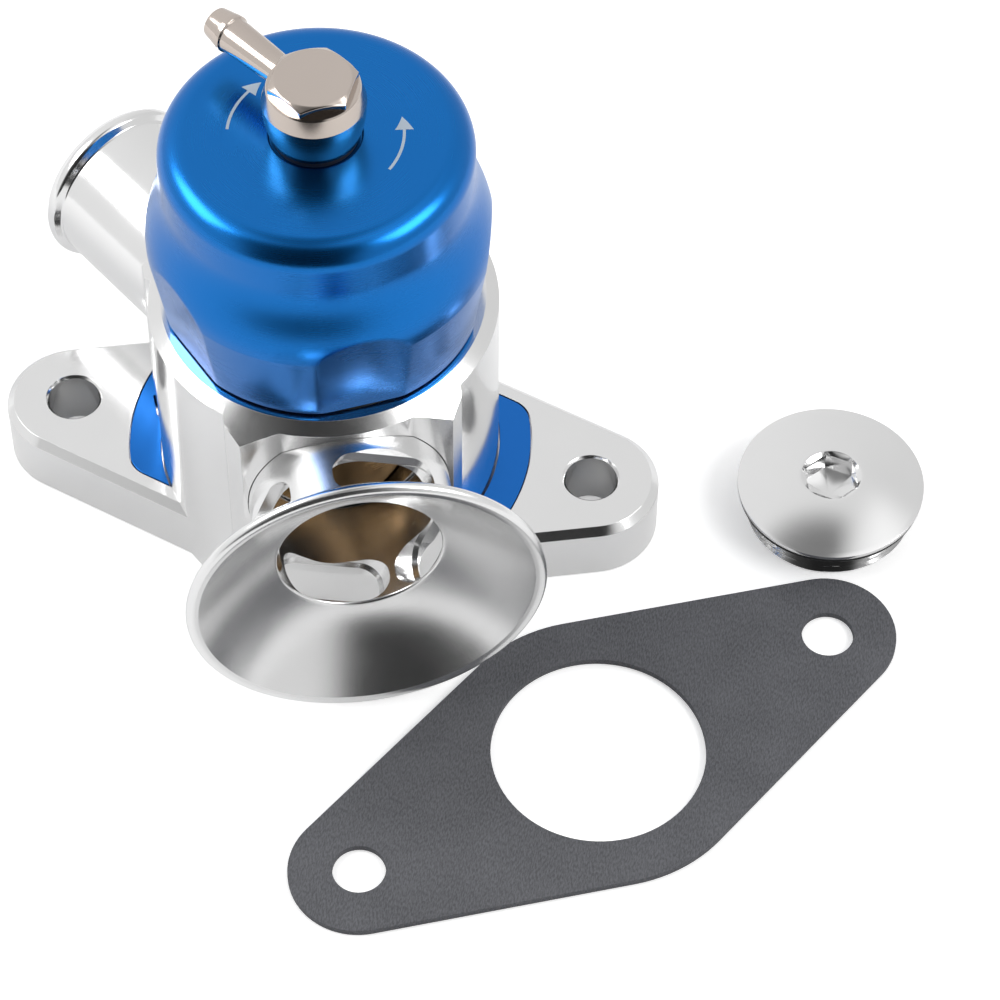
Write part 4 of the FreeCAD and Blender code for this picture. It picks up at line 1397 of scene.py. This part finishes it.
@dataclass
class SpringPack:
    """The coil spring and the cup that the cap pushes down on it.

    Attributes:
        low: height of the spring's lower end.
        high: height of the spring's upper end.
        radius: mean radius of the coil.
        wire: thickness of the wire.
        coils: number of turns.
        seat_outer: outer radius of the seat.
        seat_top: height of the seat's top.
        skirt_wall: wall of the seat's skirt.
        skirt_length: length of the skirt below the disc.
        guide: radius of the spring's guide.
        vent: radius of the vent hole.
        lift: travel of the piston. Not used.
    """

    low: float = 13.3
    high: float = 75.0
    radius: float = 12.4
    wire: float = 2.0
    coils: float = 6.0
    seat_outer: float = 19.7
    seat_top: float = 78.0
    skirt_wall: float = 3.2
    skirt_length: float = 8.0
    guide: float = 10.9
    vent: float = 5.5
    lift: float = 14.0

    def coil(self) -> bpy.types.Object:
        """Carry the wire's section along a helix and grind both ends flat.

        The section is a square with rounded corners. Points past the ends' heights are drawn
        back to them.
        """
        steps = int(self.coils * 72)
        sides = 16
        turn = np.linspace(0.0, self.coils * FULL_TURN, steps)[:, None]
        around = np.linspace(0.0, FULL_TURN, sides, endpoint=False)[None, :]
        square = 0.5 * self.wire
        section_r = square * np.sign(np.cos(around)) * np.abs(np.cos(around)) ** 0.5
        section_z = square * np.sign(np.sin(around)) * np.abs(np.sin(around)) ** 0.5
        climb = (self.high - self.low - self.wire / 2) / (self.coils * FULL_TURN)
        radius = self.radius + section_r + 0 * turn
        height = self.low + self.wire / 4 + climb * turn + section_z
        height = np.clip(height, self.low + 0.01, self.high - 0.01)
        points = VALVE_AXIS.place(radius * np.cos(turn), radius * np.sin(turn), height)
        piece = mesh_object("coil_spring", points, grid_faces(steps, sides, False, True))
        return capped(piece)

    def seat(self) -> bpy.types.Object:
        """Turn the spring seat."""
        skirt = self.seat_outer - self.skirt_wall
        lip = self.high - self.skirt_length
        corners = [
            (self.vent, self.high - 3.0, 0.3), (self.guide, self.high - 3.0, 0.5),
            (self.guide, self.high, 0.3), (skirt, self.high, 0.6),
            (skirt, lip, 0.3), (self.seat_outer, lip, 0.4),
            (self.seat_outer, self.seat_top, 0.4), (self.vent, self.seat_top, 0.3),
        ]
        return turned("seat_cup", rounded_profile(corners), VALVE_AXIS, 200)

    def build(self, finishes: Finishes) -> None:
        """Make the spring and its seat."""
        coil = dress(self.coil(), "spring_seat", finishes.spring, ("spring",))
        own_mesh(coil)
        dress(self.seat(), "spring_seat", finishes.seat, ("spring_seat",))


def seal_rings() -> list[SealRing]:
    """Every seal, guide ring and washer of the valve."""
    flat = RingShape.FLAT
    return [
        SealRing("piston_seal", "piston_seal_ring", "piston", "seal_black", 16.7, 17.94, 46.8, 48.4),
        SealRing("piston_band", "piston_guide_band", "piston", "guide_polymer",
                 16.7, 17.94, 44.2, 45.8, flat),
        SealRing("face_seal", "piston_face_seal", "piston", "seal_black", 16.05, 17.45, 9.0, 10.3),
        SealRing("deck_seal", "cap_seal", "valve_body", "seal_black", 22.4, 23.4, 47.8, 48.25),
        SealRing("slip_washer", "thrust_washer", "adjuster_cap", "guide_polymer",
                 5.5, 18.7, 78.0, 78.8, flat),
        SealRing("fitting_seal", "fitting_washer", "hose_fitting", "fitting_washer_fibre",
                 4.9, 6.4, 84.2, 85.1, flat),
        SealRing("trumpet_ring", "trumpet_seal", "trumpet_seal", "seal_black",
                 14.1, 15.5, 23.3, 24.3, axis=FRONT_PORT),
        SealRing("spigot_ring", "spigot_seal", "valve_body", "seal_black",
                 13.2, 14.5, 23.9, 25.3, axis=REAR_PORT),
        SealRing("plug_ring", "plug_seal", "blanking_plug", "seal_black",
                 13.97, 15.07, 4.6, 5.4, axis=PLUG_AXIS),
    ]


# Studio

@dataclass
class Studio:
    """The pale floor, the soft light and the camera.

    Attributes:
        lens: focal length in mm on a sensor 36 mm wide.
        distance: distance of the camera from its target in mm.
        azimuth: turn of the camera about the upright, in degrees.
        elevation: height of the camera above the horizon in degrees.
        roll: turn of the picture in degrees.
        target: the point that it looks at, in mm.
        floor_front: where the floor ends before the valve, in mm.
        floor_glow: light that the floor adds for the camera alone.
    """

    lens: float = 140.92
    distance: float = 646.88
    azimuth: float = 10.581
    elevation: float = 53.22
    roll: float = 0.434
    target: tuple[float, float, float] = (28.162, 0.731, 0.0)
    floor_front: float = -300.0
    floor_glow: float = 0.4

    def camera(self) -> None:
        """Set up the camera where the photograph was taken from."""
        turn = math.radians(self.azimuth)
        rise = math.radians(self.elevation)
        lean = math.radians(self.roll)
        back = Vector((math.sin(turn) * math.cos(rise), -math.cos(turn) * math.cos(rise), math.sin(rise)))
        right = Vector((math.cos(turn), math.sin(turn), 0.0))
        up = back.cross(right)
        right_leant = right * math.cos(lean) + up * math.sin(lean)
        up_leant = up * math.cos(lean) - right * math.sin(lean)
        data = bpy.data.cameras.new("camera")
        data.lens = self.lens
        data.sensor_width = 36.0
        data.clip_start = 0.01
        holder = bpy.data.objects.new("camera", data)
        place = Vector(self.target) * MM + back * self.distance * MM
        columns = Matrix((right_leant, up_leant, back)).transposed().to_4x4()
        holder.matrix_world = Matrix.Translation(place) @ columns
        bpy.context.scene.collection.objects.link(holder)
        bpy.context.scene.camera = holder

    def floor(self) -> None:
        """Lay the pale floor."""
        left, right, front, back, level = -0.6, 0.66, self.floor_front * MM, 0.9, -0.0001
        points = np.array([
            (left, front, level), (right, front, level), (right, back, level), (left, back, level)])
        floor = mesh_object("floor", points, np.array([[0, 1, 2, 3]]))
        made, graph = new_material("pale_floor")
        glow = graph.camera_ray() * self.floor_glow
        graph.surface({
            "Base Color": (0.9, 0.9, 0.9, 1.0), "Roughness": 0.9, "Specular IOR Level": 0.1,
            "Emission Color": graph.colour_mix(glow, BLACK, WHITE), "Emission Strength": 1.0})
        floor.data.materials.append(made)

    def world(self) -> None:
        """A white surround for the camera, and a soft studio for the light.

        The studio is dark in front of the valve and in one spot of the ceiling, and a little
        brighter on the left and high on the right.
        """
        world = bpy.data.worlds.new("studio")
        bpy.context.scene.world = world
        world.use_nodes = True
        graph = Graph(world.node_tree)
        direction = graph.node("ShaderNodeTexCoord").outputs["Generated"]
        parts = graph.node("ShaderNodeSeparateXYZ", {0: direction})
        front = Value(graph, parts.outputs[1]) * -1.0
        up = Value(graph, parts.outputs[2])
        side = Value(graph, parts.outputs[0])
        across = side * side
        dark = front.step_between(0.2, 0.5) * (1.0 - across.step_between(0.15, 0.5))
        dark = dark * (1.0 - up.step_between(0.9, 0.98))
        level = 0.88 - side.step_between(-0.5, 0.5) * 0.14 - dark * 0.8
        ceiling = up.step_between(0.9, 0.985) * (1.0 - side.step_between(0.03, 0.2))
        right = side.step_between(0.1, 0.3) * (1.0 - front.step_between(0.1, 0.3))
        level = level - ceiling * 0.6 + right * up.step_between(0.75, 0.9) * 0.35
        camera_ray = graph.camera_ray()
        strength = level.at_least(0.03) * (1.0 - camera_ray) + camera_ray
        shader = graph.node("ShaderNodeBackground", {"Color": WHITE, "Strength": strength})
        graph.node("ShaderNodeOutputWorld", {"Surface": shader.outputs[0]})

    def lamp(self, name: str, place: tuple[float, float, float], width: float, height: float,
             power: float) -> None:
        """Hang a soft lamp that faces the valve.

        Args:
            name: name of the lamp.
            place: its place in metres.
            width: its width in metres.
            height: its height in metres.
            power: its power in watts.
        """
        data = bpy.data.lights.new(name, "AREA")
        data.shape = "RECTANGLE"
        data.size = width
        data.size_y = height
        data.energy = power
        holder = bpy.data.objects.new(name, data)
        holder.location = place
        aim = Vector((0.02, 0.0, 0.04)) - Vector(place)
        holder.rotation_euler = aim.to_track_quat("-Z", "Y").to_euler()
        bpy.context.scene.collection.objects.link(holder)

    def build(self) -> None:
        """Set up the floor, the light and the camera."""
        self.floor()
        self.world()
        self.lamp("left_softbox", (-0.62, -0.05, 0.6), 0.5, 0.36, 3.2)
        self.lamp("right_softbox", (0.66, -0.08, 0.6), 0.5, 0.36, 3.0)
        self.camera()
        scene = bpy.context.scene
        scene.view_settings.view_transform = "Standard"


def main() -> None:
    """Load the frame, build every piece and set up the studio."""
    logging.basicConfig(level=logging.INFO, format="%(name)s: %(message)s")
    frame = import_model()
    nodes = frame["nodes"]
    finishes = Finishes()
    Billet().build(nodes, finishes)
    cap = AdjusterCap()
    cap.build(finishes)
    for arrow in (Arrow("arrow_left", 170.0, 13.2, -36.0), Arrow("arrow_right", -4.0, 13.2, 36.0)):
        arrow.build(cap.top, finishes)
    HoseFitting().build(finishes)
    Trumpet().build(finishes)
    Spigot().build(finishes)
    BlankingPlug().build(finishes)
    Gasket().build(nodes, finishes)
    Piston().build(finishes)
    SpringPack().build(finishes)
    soft = {"seal_black": finishes.rubber, "guide_polymer": finishes.polymer,
            "fitting_washer_fibre": finishes.washer}
    for ring in seal_rings():
        ring.build(soft[ring.slot])
    Studio().build()


if __name__ == "__main__":
    main()
